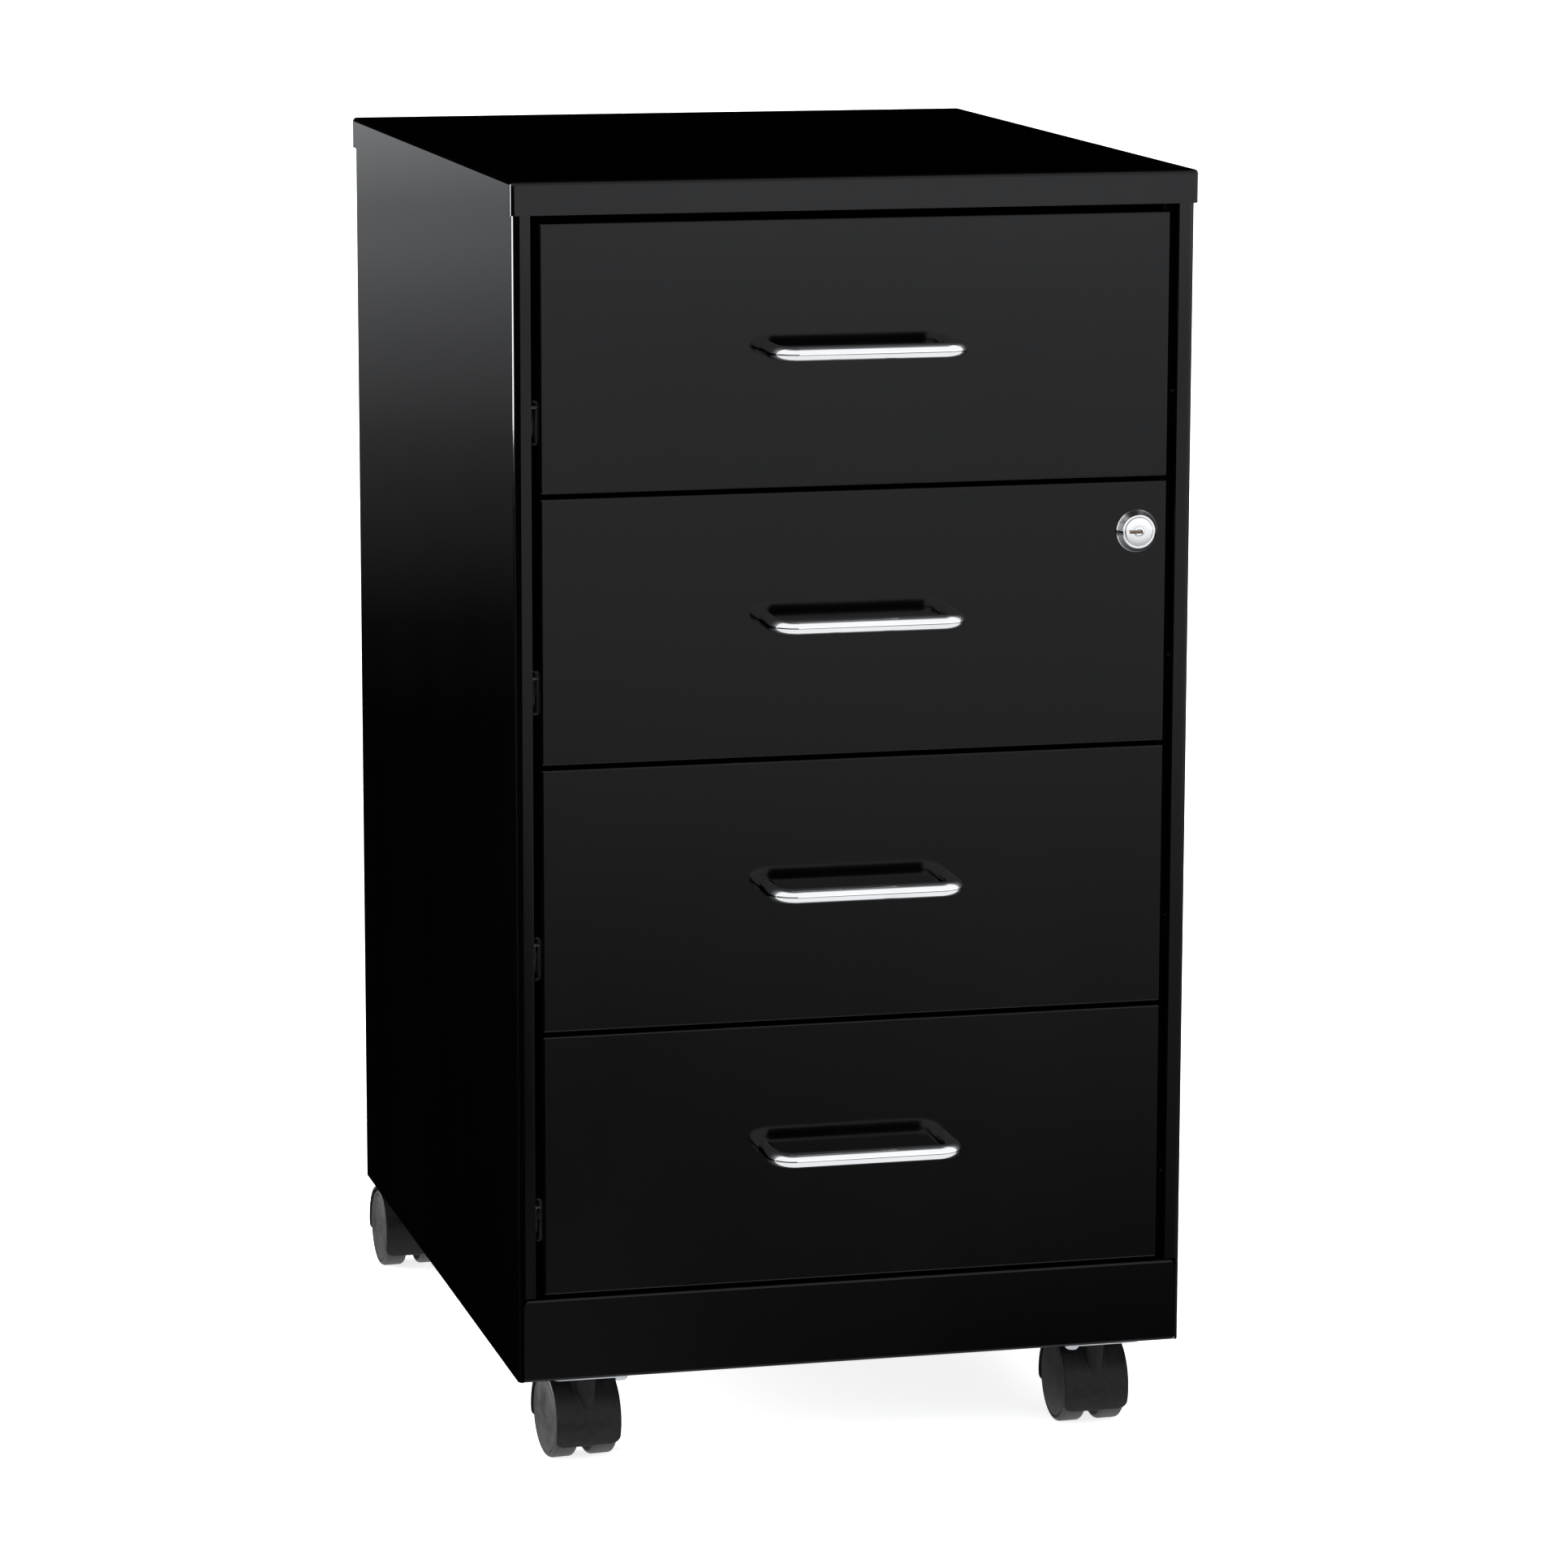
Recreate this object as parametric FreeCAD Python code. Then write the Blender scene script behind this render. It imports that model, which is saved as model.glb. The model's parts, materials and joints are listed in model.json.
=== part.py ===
import FreeCAD, Part
import math
import os

from FreeCAD import Vector

# Four-drawer metal cabinet on twin-wheel casters.  Millimetres.
# Every sub-part is drawn in cabinet coordinates: X to the right as seen from the front with 0 on the
# centre plane, Y backwards from the face of the drawer fronts, Z upwards from the bottom edge of the
# body.  placed() moves it to the part's own frame: floor level, centre of the whole footprint.

# ---------------------------------------------------------------- driving dimensions
CAP_WIDTH = 362.0
CAP_DEPTH = 457.0
CAP_TOP = 624.6                 # top of the cap above the body's bottom edge
CAP_FLANGE = 17.3
CAP_OVERHANG = 1.2
CAP_SHEET = 0.8
CAP_EDGE_RADIUS = 2.2
CAP_SEAT_GAP = 0.4              # between the cap's underside and the top of the sides
CAP_HEM_INSET = 0.6             # the hem stops short of the stiles by this much
CAP_SLIT = 1.6                  # slit between a side flange and the wrapped corner
CAP_SLIT_INSET = 0.8            # from the end of the rounded corner to the slit
CAP_RELIEF_RADIUS = 1.1         # round relief at the top of each slit
CAP_HEEL_RADIUS = 5.0           # lower rear corner of each side flange
GROUND_CLEARANCE = 52.5         # floor to the body's bottom edge

SHEET = 0.8
CORNER_RADIUS = 3.0
STILE_INNER_X = 171.0
STILE_RETURN = 8.0
REAR_FLANGE = 20.0
TOP_FLANGE = 12.0
TOP_FLANGE_INSET = 10.0         # from the front and the back of the side
BACK_PANEL_PLAY = 0.3           # beside each rear bend
BACK_PANEL_LIFT = 1.2           # above the lower edge of the sides

TOE_RAIL_HEIGHT = 44.6
TOE_RAIL_HALF = 177.0
TOE_RAIL_DEPTH = 16.0
TOE_RAIL_BEND = 2.4
TOE_RAIL_CORNER = 4.5
SEAM = 0.6

BASE_SHEET = 1.0
BASE_UPTURN = 14.0
BASE_GAP = 0.4                  # behind the toe rail and under the uprights

DRAWER_COUNT = 4
FRONT_WIDTH = 332.4
FRONT_HEIGHT = 136.7
FRONT_GAP = 3.0
FRONT_DEPTH = 17.6
FRONT_SHEET = 0.9
FRONT_EDGE_RADIUS = 1.7
LOWEST_FRONT_Z = 47.0

TRAY_HALF = 158.0
TRAY_REAR_Y = 432.0
TRAY_BOTTOM = 8.0               # above the lower edge of its drawer front
TRAY_HEIGHT = 100.0
TRAY_LIP = 6.0
TRAY_BEND = 2.0
TRAY_WALL_INSET = 0.3           # the wall behind the front pan is smaller by this much all round
TRAY_SCREW_ACCESS = 6.0         # radius of the hole behind each handle screw

ROLLER_RADIUS = 9.0
ROLLER_WIDTH = 7.0
ROLLER_INNER_X = 160.8
ROLLER_HEIGHT = 32.0            # roller centre above the lower edge of its drawer front
FRONT_ROLLER_Y = 40.0
REAR_ROLLER_Y = 404.0
ROLLER_RIM = 0.7                # softening of the roller's rims
PIN_RADIUS = 2.5
PIN_HEAD_RADIUS = 4.0
PIN_HEAD = 0.8
RUNNING_FIT = 0.06
ROLLING_GAP = 0.3

RAIL_SHEET = 1.2
RAIL_BEND = 2.0
RAIL_WEB_X = 170.6
RAIL_LIP_X = 160.4
RAIL_HEADROOM = 3.7             # above the roller
RAIL_FRONT_Y = 27.0
RAIL_REAR_Y = 440.0
RUNNER_REAR_Y = 416.0
RUNNER_LIP_X = 168.6
RUNNER_DROP = 8.0               # below the roller centres
RUNNER_SETBACK = 1.2            # behind the front pan
UPRIGHT_WIDTH = 30.0
UPRIGHT_REAR_INSET = 5.0        # from the rails' rear ends

HANDLE_SPAN = 96.0              # between the centres of the two legs
HANDLE_REACH = 29.0             # drawer face to the centre of the bar
HANDLE_ROD_RADIUS = 4.0
HANDLE_BEND = 10.0
HANDLE_RISE = 3.0               # above the middle of the drawer front
SCREW_RADIUS = 2.0
SCREW_LENGTH = 11.0
SCREW_HEAD_RADIUS = 3.8
SCREW_HEAD = 2.4
SCREW_HOLE_PLAY = 0.3
THREAD_PLAY = 0.05
TAPPED_DEPTH = 13.0

LOCK_DRAWER = 2
LOCK_X = 150.0
LOCK_Z = 437.5
LOCK_BEZEL_BASE = 11.15
LOCK_BEZEL_FACE = 8.9
LOCK_REACH = 4.8
LOCK_BARREL = 9.5
LOCK_HOLE_PLAY = 0.1
LOCK_PLUG = 7.4
LOCK_PLUG_PROUD = 0.1           # the plug stands in front of the bezel by this much
LOCK_BOSS_RADIUS = 2.7
LOCK_BOSS = 0.4
LOCK_TAIL_RADIUS = 4.0
KEY_SLOT = (-5.2, 1.9)          # left and right ends, from the lock's axis
KEY_SLOT_HALF = 0.9
KEY_SLOT_DEPTH = 7.0
LOCK_NUT_RADIUS = 13.6
LOCK_NUT = 3.0
LOCK_CAM_LENGTH = 26.0
LOCK_CAM_Y = 13.0
LOCK_CAM_SHEET = 1.5
LOCK_CAM_HALF = 5.5
LOCK_CAM_TIP_RADIUS = 3.0
LOCK_CAM_HUB_RADIUS = 7.5
LOCK_CAM_SLOT = (-26.0, 8.0)    # slot in the front's side that the cam turns through, from the axis

WHEEL_RADIUS = 22.5
WHEEL_INNER_X = 4.25
WHEEL_OUTER_X = 17.25
WHEEL_DOME_X = 18.9
WHEEL_SHOULDER = 2.4
WHEEL_GROOVE_RADIUS = 19.4
WHEEL_GROOVE_WIDTH = 0.4
WHEEL_GROOVE_DEPTH = 0.7
WHEEL_HUB_RADIUS = 3.0
WHEEL_BORE_END = 15.6
CASTER_TRAIL = 14.5
HOOD_RADIUS = 24.5
HOOD_INNER = 23.2
HOOD_HALF = 17.8
HOOD_WEB = 3.85
HOOD_FRONT_DROP = 12.8          # lower edge of the fender below the axle, at the front
HOOD_REAR_DROP = 8.0            # and at the back
HOOD_CORNER = 5.0
WEB_NOSE_LIFT = 4.0             # the web's lower edge rises by this much towards the front
WEB_FLAT_HALF = 8.0             # level part of the web's lower edge, each way from the axle
WEB_TAIL_LIFT = 2.0             # above the fender's lower edge, at the back
BOSS_LOWER_RADIUS = 4.6
BOSS_UPPER_RADIUS = 5.6
BOSS_FORWARD = 4.0              # axis of the boss in front of the swivel axis
BOSS_HEIGHT = 26.0
BOSS_DROP = 4.0                 # lower end of the boss below the axle
SLEEVE_RADIUS = 6.5             # round the kingpin, inside the hood
AXLE_HALF = 15.4
KINGPIN_RADIUS = 3.0
KINGPIN_END = -24.0
PLATE_SIZE = 42.0
PLATE_SHEET = 2.0
PLATE_CORNER = 5.0
PLATE_HOLE_SPACING = 32.0
CUP_DEPTH = 7.0
CUP_PROFILE = ((13.0, 2.0), (12.4, 3.6), (10.4, 5.2), (6.8, 6.6))       # radius, depth
CUP_ROOM_PROFILE = ((13.8, -1.0), (13.8, 3.0), (11.4, 5.4), (7.2, 7.2))
CUP_ROOM_DEPTH = 7.6
CASTER_SCREW_RADIUS = 2.3
CASTER_SCREW_LENGTH = 9.0
CASTER_HOLE_RADIUS = 2.45
CASTER_HEAD_RADIUS = 4.0
CASTER_HEAD = 2.6

# name: swivel axis X, swivel axis Y, angle the caster is turned to about its own axis (degrees)
CASTERS = {
    "front_left": (-139.7, 27.0, 5.0),
    "front_right": (139.7, 27.0, 1.0),
    "rear_left": (-157.0, 427.6, 2.0),
    "rear_right": (157.0, 427.6, 3.0),
}

# ---------------------------------------------------------------- worked-out dimensions
BODY_HALF = CAP_WIDTH / 2 - CAP_OVERHANG
BODY_DEPTH = CAP_DEPTH - 2 * CAP_OVERHANG
SIDE_INNER_X = BODY_HALF - SHEET
SIDE_TOP = CAP_TOP - CAP_SHEET - CAP_SEAT_GAP
DRAWER_PITCH = FRONT_HEIGHT + FRONT_GAP
FRONT_HALF = FRONT_WIDTH / 2
AXLE_Z = WHEEL_RADIUS - GROUND_CLEARANCE
HANDLE_FRONT_Y = -(HANDLE_REACH + HANDLE_ROD_RADIUS)
RAIL_FLOOR = ROLLER_RADIUS + ROLLING_GAP
RAIL_TOP = ROLLER_RADIUS + RAIL_HEADROOM
UPRIGHT_FOOT = BASE_UPTURN + BASE_GAP

X_AXIS = Vector(1, 0, 0)
Y_AXIS = Vector(0, 1, 0)
Z_AXIS = Vector(0, 0, 1)
ORIGIN = Vector(0, 0, 0)


def rearmost_point():
    """The furthest any hood reaches behind the face of the drawer fronts."""
    reach = 0.0
    for _, axis_y, turn in CASTERS.values():
        angle = math.radians(turn)
        hood = (CASTER_TRAIL + HOOD_RADIUS) * math.cos(angle) + HOOD_HALF * math.sin(angle)
        reach = max(reach, axis_y + hood)
    return reach


CENTRE_Y = (HANDLE_FRONT_Y + rearmost_point()) / 2


# ---------------------------------------------------------------- general shapes
def box(x0, x1, y0, y1, z0, z1):
    """A box between two corners."""
    return Part.makeBox(x1 - x0, y1 - y0, z1 - z0, Vector(x0, y0, z0))


def rod(radius, start, end):
    """A round bar between two points."""
    along = end - start
    return Part.makeCylinder(radius, along.Length, start, along)


def fillet_where(shape, radius, rule):
    """Round every straight edge whose middle point and direction satisfy the rule."""
    chosen = []
    for edge in shape.Edges:
        middle = edge.CenterOfMass
        direction = edge.Vertexes[-1].Point - edge.Vertexes[0].Point
        if direction.Length > 0 and rule(middle, direction.normalize()):
            chosen.append(edge)
    return shape.makeFillet(radius, chosen)


def mirrored(shape):
    """The left-hand shape's partner on the other side of the centre plane."""
    return shape.mirror(ORIGIN, X_AXIS)


def left_of(direction):
    """The unit vector to the left of a direction in the XY plane."""
    return Vector(-direction.y, direction.x, 0)


def joined_edges(pieces):
    """Edges for a list of straight runs (two points) and arcs (three points)."""
    edges = []
    for points in pieces:
        if len(points) == 2:
            edges.append(Part.LineSegment(points[0], points[1]).toShape())
        else:
            edges.append(Part.Arc(points[0], points[1], points[2]).toShape())
    return edges


def bent_strip(outline, thickness, radius):
    """A flat face in the shape of a bent sheet seen end-on.

    The outline follows one face of the sheet and the metal lies to its left.  Each bend has the given
    radius on its outside.
    """
    points = [Vector(u, v, 0) for u, v in outline]
    near = []
    far = []
    first = (points[1] - points[0]).normalize()
    near_point = points[0]
    far_point = points[0] + left_of(first) * thickness
    for before, corner, after in zip(points, points[1:], points[2:]):
        arriving = (corner - before).normalize()
        leaving = (after - corner).normalize()
        turn = math.atan2(arriving.cross(leaving).z, arriving.dot(leaving))
        side = math.copysign(1.0, turn)
        near_radius = radius if turn > 0 else radius - thickness
        far_radius = radius - thickness if turn > 0 else radius
        setback = near_radius * math.tan(abs(turn) / 2)
        start = corner - arriving * setback
        end = corner + leaving * setback
        centre = start + left_of(arriving) * side * near_radius
        outward = (corner - centre).normalize()
        far_start = centre - left_of(arriving) * side * far_radius
        far_end = centre - left_of(leaving) * side * far_radius
        near.append((near_point, start))
        near.append((start, centre + outward * near_radius, end))
        far.append((far_point, far_start))
        far.append((far_start, centre + outward * far_radius, far_end))
        near_point = end
        far_point = far_end
    last = (points[-1] - points[-2]).normalize()
    last_far = points[-1] + left_of(last) * thickness
    near.append((near_point, points[-1]))
    far.append((far_point, last_far))
    back = [tuple(reversed(piece)) for piece in reversed(far)]
    outline_pieces = near + [(points[-1], last_far)] + back + [(back[-1][-1], points[0])]
    return Part.Face(Part.Wire(joined_edges(outline_pieces)))


def folded_along_z(outline, thickness, radius, z0, z1):
    """A bent sheet whose end view is drawn in X and Y and whose bends run along Z."""
    face = bent_strip(outline, thickness, radius)
    face.translate(Vector(0, 0, z0))
    return face.extrude(Vector(0, 0, z1 - z0))


def folded_along_y(outline, thickness, radius, y0, y1):
    """A bent sheet whose end view is drawn in X and Z and whose bends run along Y."""
    face = bent_strip(outline, thickness, radius)
    face.rotate(ORIGIN, X_AXIS, 90)
    face.translate(Vector(0, y0, 0))
    return face.extrude(Vector(0, y1 - y0, 0))


def folded_along_x(outline, thickness, radius, x0, x1):
    """A bent sheet whose end view is drawn in Y and Z and whose bends run along X."""
    face = bent_strip(outline, thickness, radius)
    face.rotate(ORIGIN, Vector(1, 1, 1), 120)
    face.translate(Vector(x0, 0, 0))
    return face.extrude(Vector(x1 - x0, 0, 0))


def rounded_block(low, high, open_side, radius):
    """A box with every edge rounded except those around the open side."""
    block = box(low.x, high.x, low.y, high.y, low.z, high.z)
    normal, level = open_side

    def away_from_opening(middle, _):
        return abs(middle.dot(normal) - level) > 0.01

    return fillet_where(block, radius, away_from_opening)


def pressed_shell(low, high, opening, thickness, radius):
    """A pressed sheet box with one open side; opening is "+Y", "+Z" or "-Z"."""
    margin = Vector(thickness, thickness, thickness)
    inner_low = low + margin
    inner_high = high - margin
    if opening == "+Y":
        inner_high.y = high.y + thickness
        outer_side = (Y_AXIS, high.y)
        inner_side = (Y_AXIS, inner_high.y)
    elif opening == "+Z":
        inner_high.z = high.z + thickness
        outer_side = (Z_AXIS, high.z)
        inner_side = (Z_AXIS, inner_high.z)
    else:
        inner_low.z = low.z - thickness
        outer_side = (Z_AXIS, low.z)
        inner_side = (Z_AXIS, inner_low.z)
    outer = rounded_block(low, high, outer_side, radius)
    inner = rounded_block(inner_low, inner_high, inner_side, radius - thickness)
    return outer.cut(inner)


def turned(profile, axis_point, axis):
    """A solid of revolution from a closed list of straight runs and arcs."""
    face = Part.Face(Part.Wire(joined_edges(profile)))
    return face.revolve(axis_point, axis, 360)


def ring_of_runs(points):
    """Straight runs that join the points in order and close up."""
    return list(zip(points, points[1:] + points[:1]))


def pan_head_screw(head_radius, head_height, shank_radius, shank_length):
    """A cross-recess screw along +Z: the head below Z = 0, the shank above."""
    head = Part.makeCylinder(head_radius, head_height, Vector(0, 0, -head_height))
    rim = [edge for edge in head.Edges if edge.Closed and edge.CenterOfMass.z < -head_height + 0.01]
    head = head.makeFillet(head_height * 0.6, rim)
    arm = head_radius * 0.5
    slot = head_radius * 0.12
    recess_top = -head_height * 0.45
    across = box(-arm, arm, -slot, slot, -head_height, recess_top)
    along = box(-slot, slot, -arm, arm, -head_height, recess_top)
    shank = Part.makeCylinder(shank_radius, shank_length)
    return head.fuse(shank).cut(across.fuse(along)).removeSplitter()


# ---------------------------------------------------------------- carcass
def side_panel_left():
    """Side, front stile with its return, rear flange and top flange, folded from one sheet."""
    outline = [
        (-BODY_HALF + REAR_FLANGE, BODY_DEPTH),
        (-BODY_HALF, BODY_DEPTH),
        (-BODY_HALF, 0),
        (-STILE_INNER_X, 0),
        (-STILE_INNER_X, STILE_RETURN),
    ]
    panel = folded_along_z(outline, SHEET, CORNER_RADIUS, 0, SIDE_TOP)
    stile_end = TOE_RAIL_HEIGHT + SEAM
    notch_x = -TOE_RAIL_HALF - BASE_GAP
    beside_toe_rail = box(notch_x, -STILE_INNER_X + 1, -1, STILE_RETURN + 1, -1, stile_end)
    flange_end = -SIDE_INNER_X + TOP_FLANGE
    flange_rear = BODY_DEPTH - TOP_FLANGE_INSET
    top_flange = box(-SIDE_INNER_X, flange_end, TOP_FLANGE_INSET, flange_rear, SIDE_TOP - SHEET, SIDE_TOP)
    return panel.cut(beside_toe_rail).fuse(top_flange).removeSplitter()


def back_panel():
    """Flat sheet welded inside the rear flanges of the sides."""
    half = BODY_HALF - CORNER_RADIUS - BACK_PANEL_PLAY
    rear = BODY_DEPTH - SHEET
    return box(-half, half, rear - SHEET, rear, BACK_PANEL_LIFT, SIDE_TOP - SHEET)


def top_cap():
    """Slip-over lid with a flange on all four sides and a hem behind the front flange."""
    half = CAP_WIDTH / 2
    bottom = CAP_TOP - CAP_FLANGE
    low = Vector(-half, -CAP_OVERHANG, bottom)
    high = Vector(half, BODY_DEPTH + CAP_OVERHANG, CAP_TOP)
    cap = pressed_shell(low, high, "-Z", CAP_SHEET, CAP_EDGE_RADIUS)
    hem_half = STILE_INNER_X - CAP_HEM_INSET
    hem_front = -CAP_OVERHANG + CAP_SHEET
    cap = cap.fuse(box(-hem_half, hem_half, hem_front, STILE_RETURN, bottom, bottom + CAP_SHEET))
    slit_top = CAP_TOP - CAP_EDGE_RADIUS - CAP_RELIEF_RADIUS
    corner_y = CAP_EDGE_RADIUS - CAP_OVERHANG + CAP_SLIT_INSET
    for side in (-1, 1):
        outside = side * (half + 1)
        inside = side * (half - CAP_SHEET - 0.1)    # just through the flange
        x0 = min(outside, inside)
        x1 = max(outside, inside)
        for y in (corner_y, BODY_DEPTH - corner_y):
            cap = cap.cut(box(x0, x1, y - CAP_SLIT / 2, y + CAP_SLIT / 2, bottom - 1, slit_top))
            cap = cap.cut(rod(CAP_RELIEF_RADIUS, Vector(x0, y, slit_top), Vector(x1, y, slit_top)))
        rear_y = BODY_DEPTH - corner_y - CAP_SLIT / 2
        cap = cap.cut(corner_wedge(x0, x1, rear_y, bottom, CAP_HEEL_RADIUS))
    return cap.removeSplitter()


def corner_wedge(x0, x1, y, z, radius):
    """What is cut away to round the lower rear corner of a side flange."""
    block = box(x0, x1, y - radius, y, z, z + radius)
    centre_start = Vector(x0, y - radius, z + radius)
    centre_end = Vector(x1, y - radius, z + radius)
    return block.cut(rod(radius, centre_start, centre_end))


def toe_rail():
    """Channel across the front below the lowest drawer, with rounded upper corners."""
    outline = [
        (TOE_RAIL_DEPTH, TOE_RAIL_HEIGHT),
        (0, TOE_RAIL_HEIGHT),
        (0, 0),
        (TOE_RAIL_DEPTH, 0),
    ]
    rail = folded_along_x(outline, SHEET, TOE_RAIL_BEND, -TOE_RAIL_HALF, TOE_RAIL_HALF)
    half = TOE_RAIL_HALF
    envelope = box(-half, half, -1, TOE_RAIL_DEPTH + 1, -1, TOE_RAIL_HEIGHT)

    def upper_corner(middle, direction):
        return middle.z > TOE_RAIL_HEIGHT - 0.01 and abs(direction.y) > 0.9

    return pierced(rail.common(fillet_where(envelope, TOE_RAIL_CORNER, upper_corner)))


def caster_holes():
    """The positions of all caster screws: three per plate, none at its outermost corner."""
    offset = PLATE_HOLE_SPACING / 2
    holes = []
    for axis_x, axis_y, _ in CASTERS.values():
        outward = math.copysign(offset, axis_x)
        endward = math.copysign(offset, axis_y - BODY_DEPTH / 2)
        for dx, dy in ((-outward, endward), (-outward, -endward), (outward, -endward)):
            holes.append(Vector(axis_x + dx, axis_y + dy, 0))
    return holes


def pierced(sheet):
    """A sheet at the foot of the carcass with the holes of the caster screws."""
    for hole in caster_holes():
        sheet = sheet.cut(rod(CASTER_HOLE_RADIUS, hole - Z_AXIS, hole + Z_AXIS * 3))
    return sheet


def base_pan():
    """Floor of the carcass with upturned sides, pierced for the caster screws."""
    outline = [
        (-SIDE_INNER_X, BASE_UPTURN),
        (-SIDE_INNER_X, 0),
        (SIDE_INNER_X, 0),
        (SIDE_INNER_X, BASE_UPTURN),
    ]
    front_y = TOE_RAIL_DEPTH + BASE_GAP
    rear_y = BODY_DEPTH - 2 * SHEET - BASE_GAP
    return pierced(folded_along_y(outline, BASE_SHEET, TOE_RAIL_BEND, front_y, rear_y))


def uprights(front_y):
    """A pair of channels that stand against the sides and carry the rails."""
    rear_y = front_y + UPRIGHT_WIDTH
    outline = [
        (-SIDE_INNER_X, front_y),
        (-RAIL_WEB_X, front_y),
        (-RAIL_WEB_X, rear_y),
        (-SIDE_INNER_X, rear_y),
    ]
    head = SIDE_TOP - SHEET - CAP_SEAT_GAP
    left = folded_along_z(outline, RAIL_SHEET, RAIL_BEND, UPRIGHT_FOOT, head)
    return [left, mirrored(left)]


# ---------------------------------------------------------------- drawer running gear
def drawer_bottom(number):
    """Lower edge of a drawer front; drawer 1 is the top one."""
    return LOWEST_FRONT_Z + (DRAWER_COUNT - number) * DRAWER_PITCH


def roller_z(number):
    """Height of a drawer's roller centres."""
    return drawer_bottom(number) + ROLLER_HEIGHT


def rail_left(number):
    """Cabinet rail: an inward-facing channel with the pin of its front roller riveted on."""
    z = roller_z(number)
    outline = [
        (-RAIL_LIP_X, z + RAIL_TOP),
        (-RAIL_WEB_X, z + RAIL_TOP),
        (-RAIL_WEB_X, z - RAIL_FLOOR - RAIL_SHEET),
        (-RAIL_LIP_X, z - RAIL_FLOOR - RAIL_SHEET),
    ]
    rail = folded_along_y(outline, RAIL_SHEET, RAIL_BEND, RAIL_FRONT_Y, RAIL_REAR_Y)
    web_face = -RAIL_WEB_X + RAIL_SHEET
    roller_outer = -(ROLLER_INNER_X + ROLLER_WIDTH)
    pin_end = -ROLLER_INNER_X + ROLLING_GAP
    y = FRONT_ROLLER_Y
    collar = rod(PIN_HEAD_RADIUS, Vector(web_face, y, z), Vector(roller_outer - ROLLING_GAP, y, z))
    pin = rod(PIN_RADIUS, Vector(web_face, y, z), Vector(pin_end, y, z))
    head = rod(PIN_HEAD_RADIUS, Vector(pin_end, y, z), Vector(pin_end + PIN_HEAD, y, z))
    return rail.fuse([collar, pin, head]).removeSplitter()


def runner_left(number):
    """Drawer runner: an angle on the drawer's side with the pin of its rear roller riveted on."""
    z = roller_z(number)
    outline = [
        (-TRAY_HALF, z - RUNNER_DROP),
        (-TRAY_HALF, z + RAIL_FLOOR + RAIL_SHEET),
        (-RUNNER_LIP_X, z + RAIL_FLOOR + RAIL_SHEET),
    ]
    runner = folded_along_y(outline, RAIL_SHEET, RAIL_BEND, FRONT_DEPTH + RUNNER_SETBACK, RUNNER_REAR_Y)
    web_face = -TRAY_HALF - RAIL_SHEET
    roller_inner = -ROLLER_INNER_X
    pin_end = -(ROLLER_INNER_X + ROLLER_WIDTH + ROLLING_GAP)
    y = REAR_ROLLER_Y
    collar = rod(PIN_HEAD_RADIUS, Vector(web_face, y, z), Vector(roller_inner + ROLLING_GAP, y, z))
    pin = rod(PIN_RADIUS, Vector(web_face, y, z), Vector(pin_end, y, z))
    head = rod(PIN_HEAD_RADIUS, Vector(pin_end, y, z), Vector(pin_end - PIN_HEAD, y, z))
    return runner.fuse([collar, pin, head]).removeSplitter()


def roller_left(number, y):
    """Moulded roller with softened rims."""
    z = roller_z(number)
    inner = -ROLLER_INNER_X
    outer = inner - ROLLER_WIDTH
    bore = PIN_RADIUS + RUNNING_FIT
    profile = ring_of_runs([
        Vector(inner, y, z + bore),
        Vector(inner, y, z + ROLLER_RADIUS - ROLLER_RIM),
        Vector(inner - ROLLER_RIM, y, z + ROLLER_RADIUS),
        Vector(outer + ROLLER_RIM, y, z + ROLLER_RADIUS),
        Vector(outer, y, z + ROLLER_RADIUS - ROLLER_RIM),
        Vector(outer, y, z + bore),
    ])
    return turned(profile, Vector(0, y, z), X_AXIS)


# ---------------------------------------------------------------- drawers
def handle_z(number):
    """Height of a drawer's handle."""
    return drawer_bottom(number) + FRONT_HEIGHT / 2 + HANDLE_RISE


def drawer_front(number):
    """Folded front pan, pierced for the handle screws and, on one drawer, for the lock."""
    bottom = drawer_bottom(number)
    low = Vector(-FRONT_HALF, 0, bottom)
    high = Vector(FRONT_HALF, FRONT_DEPTH, bottom + FRONT_HEIGHT)
    pan = pressed_shell(low, high, "+Y", FRONT_SHEET, FRONT_EDGE_RADIUS)
    for side in (-1, 1):
        centre = Vector(side * HANDLE_SPAN / 2, -1, handle_z(number))
        pan = pan.cut(rod(SCREW_RADIUS + SCREW_HOLE_PLAY, centre, centre + Y_AXIS * 3))
    if number == LOCK_DRAWER:
        lock = Vector(LOCK_X, -1, LOCK_Z)
        pan = pan.cut(rod(LOCK_BARREL + LOCK_HOLE_PLAY, lock, lock + Y_AXIS * 3))
        slot_y = LOCK_CAM_Y - 1
        slot_end = LOCK_CAM_Y + LOCK_CAM_SHEET + 1
        slot_low = LOCK_Z + LOCK_CAM_SLOT[0]
        slot_high = LOCK_Z + LOCK_CAM_SLOT[1]
        pan = pan.cut(box(FRONT_HALF - 2, FRONT_HALF + 1, slot_y, slot_end, slot_low, slot_high))
    return pan


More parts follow.
